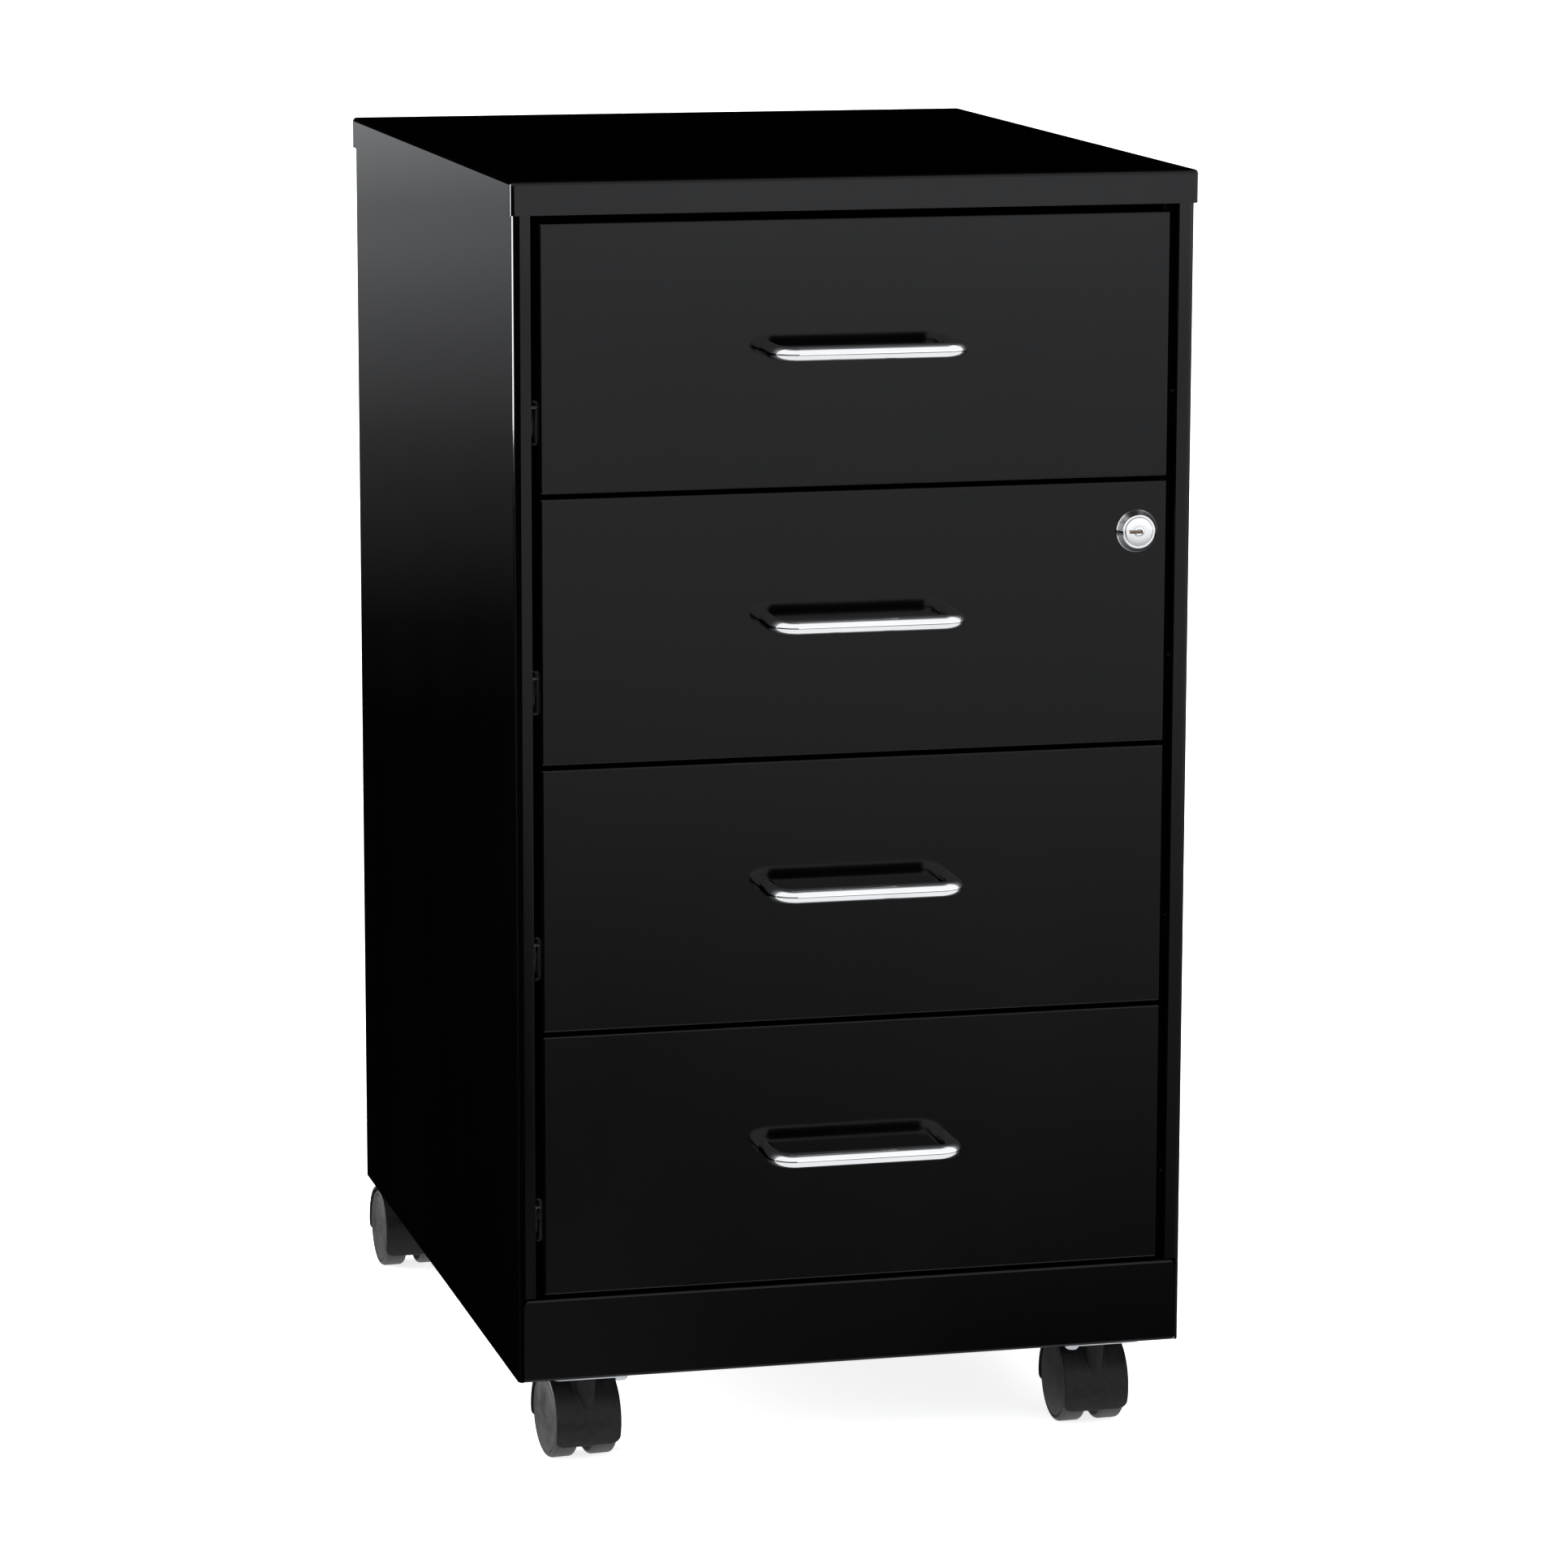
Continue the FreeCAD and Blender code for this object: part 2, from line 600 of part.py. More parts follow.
def drawer_tray(number):
    """Drawer body: a sheet box with inward lips and a full-height wall behind the front pan."""
    bottom = drawer_bottom(number)
    floor_z = bottom + TRAY_BOTTOM
    top_z = floor_z + TRAY_HEIGHT
    low = Vector(-TRAY_HALF, FRONT_DEPTH, floor_z)
    high = Vector(TRAY_HALF, TRAY_REAR_Y, top_z)
    tray = pressed_shell(low, high, "+Z", SHEET, TRAY_BEND)
    wall_half = FRONT_HALF - TRAY_WALL_INSET
    wall_end = FRONT_DEPTH + SHEET
    wall_low = bottom + TRAY_WALL_INSET
    wall_high = bottom + FRONT_HEIGHT - TRAY_WALL_INSET
    wall = box(-wall_half, wall_half, FRONT_DEPTH, wall_end, wall_low, wall_high)
    lip_z = top_z - SHEET
    lips = [wall]
    for side in (-1, 1):
        x0 = min(side * (TRAY_HALF - TRAY_LIP), side * (TRAY_HALF - SHEET / 2))
        x1 = max(side * (TRAY_HALF - TRAY_LIP), side * (TRAY_HALF - SHEET / 2))
        lips.append(box(x0, x1, wall_end, TRAY_REAR_Y - TRAY_BEND, lip_z, top_z))
    lip_half = TRAY_HALF - TRAY_BEND
    lips.append(box(-lip_half, lip_half, TRAY_REAR_Y - TRAY_LIP, TRAY_REAR_Y - SHEET / 2, lip_z, top_z))
    tray = tray.fuse(lips)
    for side in (-1, 1):
        centre = Vector(side * HANDLE_SPAN / 2, FRONT_DEPTH - 1, handle_z(number))
        tray = tray.cut(rod(TRAY_SCREW_ACCESS, centre, centre + Y_AXIS * 4))
    return tray.removeSplitter()


def handle_bend(side, z):
    """Quarter bend between a leg and the bar of a handle."""
    centre = Vector(side * (HANDLE_SPAN / 2 - HANDLE_BEND), HANDLE_BEND - HANDLE_REACH, z)
    section_centre = centre + X_AXIS * side * HANDLE_BEND
    circle = Part.Circle(section_centre, Y_AXIS, HANDLE_ROD_RADIUS)
    section = Part.Face(Part.Wire(circle.toShape()))
    return section.revolve(centre, Z_AXIS * -side, 90)


def handle(number):
    """Bent-rod pull with a threaded hole up each leg."""
    z = handle_z(number)
    half = HANDLE_SPAN / 2
    bar_half = half - HANDLE_BEND
    bar_start = Vector(-bar_half, -HANDLE_REACH, z)
    pieces = [rod(HANDLE_ROD_RADIUS, bar_start, Vector(bar_half, -HANDLE_REACH, z))]
    for side in (-1, 1):
        foot = Vector(side * half, 0, z)
        pieces.append(rod(HANDLE_ROD_RADIUS, foot, foot - Y_AXIS * (HANDLE_REACH - HANDLE_BEND)))
        pieces.append(handle_bend(side, z))
    pull = pieces[0].fuse(pieces[1:])
    for side in (-1, 1):
        start = Vector(side * half, 1, z)
        pull = pull.cut(rod(SCREW_RADIUS + THREAD_PLAY, start, start - Y_AXIS * TAPPED_DEPTH))
    return pull.removeSplitter()


def handle_screws(number):
    """The two screws that hold a handle from inside the front pan."""
    screws = []
    for side in (-1, 1):
        screw = pan_head_screw(SCREW_HEAD_RADIUS, SCREW_HEAD, SCREW_RADIUS, SCREW_LENGTH)
        screw.rotate(ORIGIN, X_AXIS, 90)
        screw.translate(Vector(side * HANDLE_SPAN / 2, FRONT_SHEET, handle_z(number)))
        screws.append(screw)
    return screws


# ---------------------------------------------------------------- lock
def lock_point(radius, y):
    """A point of a lock profile: a radius from the lock's axis at a depth."""
    return Vector(LOCK_X + radius, y, LOCK_Z)


def lock_housing():
    """Barrel with a tapered bezel in front of the drawer."""
    bore = LOCK_PLUG + RUNNING_FIT
    profile = ring_of_runs([
        lock_point(bore, -LOCK_REACH),
        lock_point(LOCK_BEZEL_FACE - 0.4, -LOCK_REACH),
        lock_point(LOCK_BEZEL_FACE, -LOCK_REACH + 0.4),
        lock_point(LOCK_BEZEL_BASE, -0.6),
        lock_point(LOCK_BEZEL_BASE, 0),
        lock_point(LOCK_BARREL, 0),
        lock_point(LOCK_BARREL, LOCK_CAM_Y - 1),
        lock_point(bore, LOCK_CAM_Y - 1),
    ])
    return turned(profile, Vector(LOCK_X, 0, LOCK_Z), Y_AXIS)


def lock_plug():
    """Turning plug with a key boss, a key slot and a tail for the cam."""
    tail_end = LOCK_CAM_Y + LOCK_CAM_SHEET + 1.2
    face_y = -LOCK_REACH - LOCK_PLUG_PROUD
    profile = ring_of_runs([
        lock_point(0, face_y),
        lock_point(LOCK_PLUG - 0.35, face_y),
        lock_point(LOCK_PLUG, face_y + 0.35),
        lock_point(LOCK_PLUG, LOCK_CAM_Y - 0.2),
        lock_point(LOCK_TAIL_RADIUS, LOCK_CAM_Y - 0.2),
        lock_point(LOCK_TAIL_RADIUS, tail_end),
        lock_point(0, tail_end),
    ])
    plug = turned(profile, Vector(LOCK_X, 0, LOCK_Z), Y_AXIS)
    boss = rod(LOCK_BOSS_RADIUS, Vector(LOCK_X, face_y, LOCK_Z), Vector(LOCK_X, face_y - LOCK_BOSS, LOCK_Z))
    left = LOCK_X + KEY_SLOT[0]
    right = LOCK_X + KEY_SLOT[1]
    low = LOCK_Z - KEY_SLOT_HALF
    high = LOCK_Z + KEY_SLOT_HALF
    slot = box(left, right, face_y - 1, face_y + KEY_SLOT_DEPTH, low, high)
    return plug.fuse(boss).cut(slot).removeSplitter()


def lock_nut():
    """Hexagonal nut that clamps the housing from behind the front sheet."""
    corners = []
    for step in range(6):
        angle = math.radians(60 * step)
        x = LOCK_X + LOCK_NUT_RADIUS * math.cos(angle)
        z = LOCK_Z + LOCK_NUT_RADIUS * math.sin(angle)
        corners.append(Vector(x, FRONT_SHEET, z))
    nut = Part.Face(Part.Wire(joined_edges(ring_of_runs(corners)))).extrude(Y_AXIS * LOCK_NUT)
    centre = Vector(LOCK_X, 0, LOCK_Z)
    return nut.cut(rod(LOCK_BARREL + THREAD_PLAY, centre, centre + Y_AXIS * 8))


def lock_cam():
    """Cam plate on the plug's tail, hanging down when the drawer is free to open."""
    y0 = LOCK_CAM_Y
    y1 = LOCK_CAM_Y + LOCK_CAM_SHEET
    tip_z = LOCK_Z - LOCK_CAM_LENGTH
    arm = box(LOCK_X - LOCK_CAM_HALF, LOCK_X + LOCK_CAM_HALF, y0, y1, tip_z, LOCK_Z)

    def tip_corner(middle, direction):
        return middle.z < tip_z + 0.01 and abs(direction.y) > 0.9

    arm = fillet_where(arm, LOCK_CAM_TIP_RADIUS, tip_corner)
    hub = rod(LOCK_CAM_HUB_RADIUS, Vector(LOCK_X, y0, LOCK_Z), Vector(LOCK_X, y1, LOCK_Z))
    tail = rod(LOCK_TAIL_RADIUS + 0.02, Vector(LOCK_X, y0 - 1, LOCK_Z), Vector(LOCK_X, y1 + 1, LOCK_Z))
    return arm.fuse(hub).cut(tail).removeSplitter()


# ---------------------------------------------------------------- casters
def about_swivel(top_z, profile, depth):
    """A body of revolution about the swivel axis from (radius, depth) pairs and its full depth."""
    points = [Vector(0, 0, top_z)]
    for radius, below in profile:
        points.append(Vector(radius, 0, -below))
    points.append(Vector(0, 0, -depth))
    return turned(ring_of_runs(points), ORIGIN, Z_AXIS)


def caster_plate():
    """Zinc plate with its screw holes, pressed bearing cup and kingpin, axis at X = Y = 0."""
    half = PLATE_SIZE / 2
    plate = box(-half, half, -half, half, -PLATE_SHEET, 0)

    def vertical(_, direction):
        return abs(direction.z) > 0.9

    plate = fillet_where(plate, PLATE_CORNER, vertical)
    cup = about_swivel(-PLATE_SHEET, CUP_PROFILE, CUP_DEPTH)
    kingpin = rod(KINGPIN_RADIUS, Vector(0, 0, -CUP_DEPTH + 1), Vector(0, 0, KINGPIN_END))
    plate = plate.fuse([cup, kingpin])
    offset = PLATE_HOLE_SPACING / 2
    for x in (-offset, offset):
        for y in (-offset, offset):
            plate = plate.cut(rod(CASTER_HOLE_RADIUS, Vector(x, y, -5), Vector(x, y, 1)))
    return plate.removeSplitter()


def caster_screws():
    """The screws of the four casters."""
    screws = []
    for hole in caster_holes():
        screw = pan_head_screw(CASTER_HEAD_RADIUS, CASTER_HEAD, CASTER_SCREW_RADIUS, CASTER_SCREW_LENGTH)
        screw.translate(Vector(hole.x, hole.y, -PLATE_SHEET))
        screws.append(screw)
    return screws


def along_axle(radius, x0, x1):
    """A round bar on the axle line between two X positions."""
    start = Vector(x0, CASTER_TRAIL, AXLE_Z)
    return rod(radius, start, Vector(x1, CASTER_TRAIL, AXLE_Z))


def fender_half(y0, y1, lower_z):
    """Room that half of the fender may fill, with rounded lower corners seen from the front."""
    block = box(-HOOD_HALF, HOOD_HALF, y0, y1, lower_z, 0)

    def lower_corner(middle, direction):
        return middle.z < lower_z + 0.01 and abs(direction.y) > 0.9

    return fillet_where(block, HOOD_CORNER, lower_corner)


def caster_hood():
    """Moulded hood: fender over both wheels, web between them, boss on the swivel axis."""
    front_z = AXLE_Z - HOOD_FRONT_DROP
    rear_z = AXLE_Z - HOOD_REAR_DROP
    ring = along_axle(HOOD_RADIUS, -HOOD_HALF, HOOD_HALF)
    ring = ring.cut(along_axle(HOOD_INNER, -HOOD_HALF - 1, HOOD_HALF + 1))
    front = ring.common(fender_half(CASTER_TRAIL - HOOD_RADIUS - 1, CASTER_TRAIL, front_z))
    rear = ring.common(fender_half(CASTER_TRAIL, CASTER_TRAIL + HOOD_RADIUS + 1, rear_z))
    web = along_axle(HOOD_RADIUS - 0.1, -HOOD_WEB, HOOD_WEB)
    beyond = HOOD_RADIUS + 5
    web_room = Part.Face(Part.Wire(joined_edges(ring_of_runs([
        Vector(-HOOD_WEB, CASTER_TRAIL - beyond, 0),
        Vector(-HOOD_WEB, CASTER_TRAIL - beyond, front_z + WEB_NOSE_LIFT),
        Vector(-HOOD_WEB, CASTER_TRAIL - WEB_FLAT_HALF, front_z),
        Vector(-HOOD_WEB, CASTER_TRAIL + WEB_FLAT_HALF, front_z),
        Vector(-HOOD_WEB, CASTER_TRAIL + beyond, rear_z + WEB_TAIL_LIFT),
        Vector(-HOOD_WEB, CASTER_TRAIL + beyond, 0),
    ])))).extrude(X_AXIS * 2 * HOOD_WEB)
    web = web.common(web_room)
    foot_z = AXLE_Z - BOSS_DROP
    boss_foot = Vector(0, -BOSS_FORWARD, foot_z)
    boss = Part.makeCone(BOSS_LOWER_RADIUS, BOSS_UPPER_RADIUS, BOSS_HEIGHT, boss_foot)
    boss = boss.fuse(rod(SLEEVE_RADIUS, Vector(0, 0, foot_z), Vector(0, 0, foot_z + BOSS_HEIGHT)))
    for side in (-1, 1):
        boss = boss.cut(along_axle(HOOD_INNER, side * HOOD_WEB, side * (HOOD_HALF + 2)))
    hood = front.fuse([rear, web, boss])
    hood = hood.cut(about_swivel(1, CUP_ROOM_PROFILE, CUP_ROOM_DEPTH))
    hood = hood.cut(rod(KINGPIN_RADIUS + RUNNING_FIT, Vector(0, 0, 0), Vector(0, 0, KINGPIN_END - 1)))
    hood = hood.cut(along_axle(PIN_RADIUS + 0.02, -HOOD_HALF, HOOD_HALF))
    return hood.removeSplitter()


def wheel_point(x, radius):
    """A point of the wheel's profile: X position and radius from the axle."""
    return Vector(x, CASTER_TRAIL, AXLE_Z + radius)


def caster_wheel_right():
    """Moulded wheel with a domed outer face and a fine groove inside its rim."""
    bore = PIN_RADIUS + RUNNING_FIT
    dome_edge = WHEEL_OUTER_X - 0.1
    dome_rise = WHEEL_DOME_X - dome_edge
    sphere = (WHEEL_GROOVE_RADIUS ** 2 + dome_rise ** 2) / (2 * dome_rise)
    sphere_centre_x = WHEEL_DOME_X - sphere
    dome_middle_radius = WHEEL_GROOVE_RADIUS / 2
    dome_middle_x = sphere_centre_x + math.sqrt(sphere ** 2 - dome_middle_radius ** 2)
    hub_x = sphere_centre_x + math.sqrt(sphere ** 2 - WHEEL_HUB_RADIUS ** 2)
    shoulder_radius = WHEEL_RADIUS - WHEEL_SHOULDER
    groove_outer = WHEEL_GROOVE_RADIUS + WHEEL_GROOVE_WIDTH
    groove_floor_x = WHEEL_OUTER_X - WHEEL_GROOVE_DEPTH
    outline = [
        wheel_point(hub_x, WHEEL_HUB_RADIUS),
        wheel_point(hub_x, 0),
        wheel_point(WHEEL_BORE_END, 0),
        wheel_point(WHEEL_BORE_END, bore),
        wheel_point(WHEEL_INNER_X, bore),
        wheel_point(WHEEL_INNER_X, shoulder_radius),
        wheel_point(WHEEL_INNER_X + WHEEL_SHOULDER, WHEEL_RADIUS),
        wheel_point(WHEEL_OUTER_X - WHEEL_SHOULDER, WHEEL_RADIUS),
        wheel_point(WHEEL_OUTER_X, shoulder_radius),
        wheel_point(WHEEL_OUTER_X, groove_outer),
        wheel_point(groove_floor_x, groove_outer),
        wheel_point(groove_floor_x, WHEEL_GROOVE_RADIUS),
        wheel_point(dome_edge, WHEEL_GROOVE_RADIUS),
    ]
    dome = (outline[-1], wheel_point(dome_middle_x, dome_middle_radius), outline[0])
    profile = list(zip(outline, outline[1:])) + [dome]
    return turned(profile, Vector(0, CASTER_TRAIL, AXLE_Z), X_AXIS)


# ---------------------------------------------------------------- writing the sub-parts
def placed(shapes):
    """Move solids from cabinet coordinates to the part's frame."""
    moved = []
    for shape in shapes:
        copy = shape.copy()
        copy.translate(Vector(0, -CENTRE_Y, GROUND_CLEARANCE))
        moved.append(copy)
    return moved


def write(node, shapes):
    """Write one node as a STEP file of one or more solids."""
    solids = []
    for shape in placed(shapes):
        solids.extend(shape.Solids)
    whole = solids[0] if len(solids) == 1 else Part.makeCompound(solids)
    whole.exportStep("parts/" + node + ".step")
    size = whole.BoundBox
    print(node, len(solids), "solids", whole.isValid(), "volume", round(whole.Volume),
          "box", [round(v, 2) for v in (size.XMin, size.YMin, size.ZMin, size.XMax, size.YMax, size.ZMax)])


def write_pair(node, left):
    """Write a left-hand solid and its mirror image as one node."""
    write(node, [left, mirrored(left)])


def write_carcass():
    """Everything that stands still."""
    left = side_panel_left()
    write("side_panel_left", [left])
    write("side_panel_right", [mirrored(left)])
    write("back_panel", [back_panel()])
    write("top_cap", [top_cap()])
    write("toe_rail", [toe_rail()])
    write("base_pan", [base_pan()])
    write("front_uprights", uprights(RAIL_FRONT_Y))
    write("rear_uprights", uprights(RAIL_REAR_Y - UPRIGHT_REAR_INSET - UPRIGHT_WIDTH))
    rails = [rail_left(number) for number in range(1, DRAWER_COUNT + 1)]
    write("left_rails", rails)
    write("right_rails", [mirrored(rail) for rail in rails])


def write_drawer(number):
    """One drawer with its handle and running gear."""
    name = "drawer_" + str(number) + "_"
    write(name + "front", [drawer_front(number)])
    write(name + "tray", [drawer_tray(number)])
    write(name + "handle", [handle(number)])
    write(name + "handle_screws", handle_screws(number))
    write_pair(name + "runners", runner_left(number))
    write_pair(name + "front_rollers", roller_left(number, FRONT_ROLLER_Y))
    write_pair(name + "rear_rollers", roller_left(number, REAR_ROLLER_Y))


def write_casters():
    """The four casters, each turned to its own angle, and their plates and screws."""
    plates = []
    right_wheel = caster_wheel_right()
    pieces = {
        "hood": caster_hood(),
        "axle": along_axle(PIN_RADIUS, -AXLE_HALF, AXLE_HALF),
        "wheel_left": mirrored(right_wheel),
        "wheel_right": right_wheel,
    }
    plate = caster_plate()
    for name, (axis_x, axis_y, turn) in CASTERS.items():
        centre = Vector(axis_x, axis_y, 0)
        own_plate = plate.copy()
        own_plate.translate(centre)
        plates.append(own_plate)
        for piece, shape in pieces.items():
            own = shape.copy()
            own.rotate(ORIGIN, Z_AXIS, turn)
            own.translate(centre)
            write("caster_" + name + "_" + piece, [own])
    write("caster_plates", plates)
    write("caster_screws", caster_screws())


def write_lock():
    """The lock of one drawer."""
    write("lock_housing", [lock_housing()])
    write("lock_plug", [lock_plug()])
    write("lock_nut", [lock_nut()])
    write("lock_cam", [lock_cam()])


def main():
    """Write every sub-part."""
    os.makedirs("parts", exist_ok=True)
    write_carcass()
    for number in range(1, DRAWER_COUNT + 1):
        write_drawer(number)
    write_casters()
    write_lock()
    print("origin is", round(CENTRE_Y, 3), "mm behind the drawer faces")


main()
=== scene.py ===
"""Looks of a four-drawer metal cabinet on casters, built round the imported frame.

Every size is in metres and every place comes from the frame's own boxes.  Each sub-assembly is a class that
builds its meshes and dresses them; each finish is a small frozen class that makes one procedural material.
"""

import json
import logging
import math
from dataclasses import dataclass, field
from enum import Enum
from typing import Callable, Iterable, Optional, Sequence

import bmesh
import bpy
from mathutils import Matrix, Vector


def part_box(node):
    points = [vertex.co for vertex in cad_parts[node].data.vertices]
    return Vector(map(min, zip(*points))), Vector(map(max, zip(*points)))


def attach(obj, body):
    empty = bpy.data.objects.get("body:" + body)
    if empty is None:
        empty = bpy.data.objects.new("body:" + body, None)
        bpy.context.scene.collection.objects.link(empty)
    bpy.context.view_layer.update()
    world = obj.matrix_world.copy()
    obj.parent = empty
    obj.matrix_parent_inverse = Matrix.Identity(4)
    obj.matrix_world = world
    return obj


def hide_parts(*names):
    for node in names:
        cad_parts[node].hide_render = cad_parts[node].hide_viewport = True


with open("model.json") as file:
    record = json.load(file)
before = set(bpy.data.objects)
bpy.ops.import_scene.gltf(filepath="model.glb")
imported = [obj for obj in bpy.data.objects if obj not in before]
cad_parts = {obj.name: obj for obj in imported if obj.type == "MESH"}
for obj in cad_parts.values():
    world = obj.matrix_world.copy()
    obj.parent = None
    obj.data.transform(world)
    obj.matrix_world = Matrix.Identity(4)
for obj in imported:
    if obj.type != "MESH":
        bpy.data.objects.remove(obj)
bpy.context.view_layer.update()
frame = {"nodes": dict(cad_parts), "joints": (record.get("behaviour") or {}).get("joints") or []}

log = logging.getLogger("cabinet")

MM = 0.001
TAU = 2.0 * math.pi
CABINET = "cabinet"
DRAWER_NUMBERS = (1, 2, 3, 4)
LOCKED_DRAWER = 2
BRIGHTEST = 2.0


class Side(Enum):
    """Left or right as seen from the front of the cabinet."""

    LEFT = -1
    RIGHT = 1


class Joining(Enum):
    """What a closed form does to a mesh."""

    CUT = "DIFFERENCE"
    JOIN = "UNION"


class Opening(Enum):
    """The side of a pressed shell that is left open, as an axis number and a direction."""

    BACK = (1, 1)
    BELOW = (2, -1)


class Slot(Enum):
    """Names of the record's material slots."""

    ENAMEL = "enamel"
    FRONT = "front_enamel"
    INNER = "inner_enamel"
    CHROME = "chrome"
    ZINC = "zinc"
    SCREW = "screw_steel"
    NYLON = "roller_nylon"
    HOOD = "hood_plastic"
    WHEEL = "wheel_plastic"


# ------------------------------------------------------------------------------------------------ finishes
class Recipe:
    """A material under construction: one Principled shader and the nodes that feed it."""

    def __init__(self, name: str) -> None:
        """Start an empty recipe.

        Args:
            name: The material's name.
        """
        self.material = bpy.data.materials.new(name)
        self.material.use_nodes = True
        self.tree = self.material.node_tree
        self.tree.nodes.clear()
        self.shader = self.tree.nodes.new("ShaderNodeBsdfPrincipled")
        output = self.tree.nodes.new("ShaderNodeOutputMaterial")
        self.tree.links.new(self.shader.outputs["BSDF"], output.inputs["Surface"])
        coordinates = self.tree.nodes.new("ShaderNodeTexCoord")
        self.place = coordinates.outputs["Object"]

    def fixed(self, **values: object) -> None:
        """Set shader sockets that are the same all over; underscores in a name stand for spaces."""
        for key, value in values.items():
            self.shader.inputs[key.replace("_", " ")].default_value = value

    def stretched(self, scale: tuple[float, float, float]) -> bpy.types.NodeSocket:
        """Object coordinates scaled by a different amount along each axis.

        Args:
            scale: Factor along X, Y and Z.

        Returns:
            The scaled coordinate socket.
        """
        mapping = self.tree.nodes.new("ShaderNodeMapping")
        mapping.inputs["Scale"].default_value = scale
        self.tree.links.new(self.place, mapping.inputs["Vector"])
        return mapping.outputs["Vector"]

    def noise(
        self,
        scale: float,
        detail: float = 3.0,
        vector: Optional[bpy.types.NodeSocket] = None,
        roughness: float = 0.55,
    ) -> bpy.types.NodeSocket:
        """Fractal noise over the object.

        Args:
            scale: Cells per metre.
            detail: Number of octaves.
            vector: Coordinates to use in place of plain object coordinates.
            roughness: Weight of the finer octaves.

        Returns:
            The grey value socket.
        """
        node = self.tree.nodes.new("ShaderNodeTexNoise")
        node.inputs["Scale"].default_value = scale
        node.inputs["Detail"].default_value = detail
        node.inputs["Roughness"].default_value = roughness
        self.tree.links.new(vector or self.place, node.inputs["Vector"])
        return node.outputs["Fac"]

    def cells(self, scale: float) -> bpy.types.NodeSocket:
        """Random grey value per Voronoi cell.

        Args:
            scale: Cells per metre.

        Returns:
            The grey value socket.
        """
        node = self.tree.nodes.new("ShaderNodeTexVoronoi")
        node.inputs["Scale"].default_value = scale
        self.tree.links.new(self.place, node.inputs["Vector"])
        split = self.tree.nodes.new("ShaderNodeSeparateColor")
        self.tree.links.new(node.outputs["Color"], split.inputs["Color"])
        return split.outputs["Red"]

    def remapped(
        self, value: bpy.types.NodeSocket, low: float, high: float, near: float = 0.3, far: float = 0.7
    ) -> bpy.types.NodeSocket:
        """Stretch a grey value from one span to another.

        Args:
            value: The socket to read.
            low: Result at the near end of the span.
            high: Result at the far end of the span.
            near: Start of the span read.
            far: End of the span read.

        Returns:
            The stretched value socket.
        """
        node = self.tree.nodes.new("ShaderNodeMapRange")
        node.inputs["From Min"].default_value = near
        node.inputs["From Max"].default_value = far
        node.inputs["To Min"].default_value = low
        node.inputs["To Max"].default_value = high
        self.tree.links.new(value, node.inputs["Value"])
        return node.outputs["Result"]

    def combined(
        self, first: bpy.types.NodeSocket, second: bpy.types.NodeSocket, operation: str = "ADD"
    ) -> bpy.types.NodeSocket:
        """Two grey values added, multiplied or otherwise combined.

        Args:
            first: Left operand.
            second: Right operand.
            operation: Name of the Math operation.

        Returns:
            The result socket.
        """
        node = self.tree.nodes.new("ShaderNodeMath")
        node.operation = operation
        self.tree.links.new(first, node.inputs[0])
        self.tree.links.new(second, node.inputs[1])
        return node.outputs["Value"]

    def blended(
        self,
        amount: bpy.types.NodeSocket,
        first: tuple[float, float, float],
        second: tuple[float, float, float],
    ) -> bpy.types.NodeSocket:
        """A colour between two colours.

        Args:
            amount: 0 gives the first colour and 1 the second.
            first: Linear RGB.
            second: Linear RGB.

        Returns:
            The colour socket.
        """
        node = self.tree.nodes.new("ShaderNodeMix")
        node.data_type = "RGBA"
        node.inputs[6].default_value = (*first, 1.0)
        node.inputs[7].default_value = (*second, 1.0)
        self.tree.links.new(amount, node.inputs[0])
        return node.outputs[2]

    def feed(self, value: bpy.types.NodeSocket, socket: str) -> None:
        """Link a value to one of the shader's sockets."""
        self.tree.links.new(value, self.shader.inputs[socket])

    def relief(self, layers: Sequence[tuple[bpy.types.NodeSocket, float, float]]) -> None:
        """Bump layers, coarse to fine, each a (height, strength, distance in metres)."""
        normal = None
        for height, strength, distance in layers:
            node = self.tree.nodes.new("ShaderNodeBump")
            node.inputs["Strength"].default_value = strength
            node.inputs["Distance"].default_value = distance
            self.tree.links.new(height, node.inputs["Height"])
            if normal is not None:
                self.tree.links.new(normal, node.inputs["Normal"])
            normal = node.outputs["Normal"]
        self.tree.links.new(normal, self.shader.inputs["Normal"])


@dataclass(frozen=True)
class Enamel:
    """Baked black enamel: a smooth glossy film with a faint orange peel and wipe marks."""

    name: str
    pigment: tuple[float, float, float] = (0.0002, 0.0002, 0.0003)
    faded: tuple[float, float, float] = (0.0005, 0.0005, 0.0007)
    smoothest: float = 0.045
    roughest: float = 0.08
    specular: float = 0.25
    peel: float = 0.05
    waviness: float = 0.03

    def material(self) -> bpy.types.Material:
        """Build the enamel's material."""
        recipe = Recipe(self.name)
        recipe.fixed(Specular_IOR_Level=self.specular, Coat_Weight=0.0)
        smears = recipe.noise(9.0, 5.0, recipe.stretched((1.0, 1.0, 0.35)))
        specks = recipe.noise(900.0, 2.0)
        wear = recipe.remapped(smears, 0.0, 1.0)
        recipe.feed(recipe.blended(wear, self.pigment, self.faded), "Base Color")
        sheen = recipe.remapped(smears, self.smoothest, self.roughest)
        grit = recipe.remapped(specks, -0.008, 0.012, 0.45, 0.8)
        recipe.feed(recipe.combined(sheen, grit), "Roughness")
        oil_canning = recipe.noise(5.5, 1.0)
        orange_peel = recipe.noise(520.0, 2.0)
        recipe.relief([(oil_canning, self.waviness, 4.0 * MM), (orange_peel, self.peel, 0.05 * MM)])
        return recipe.material


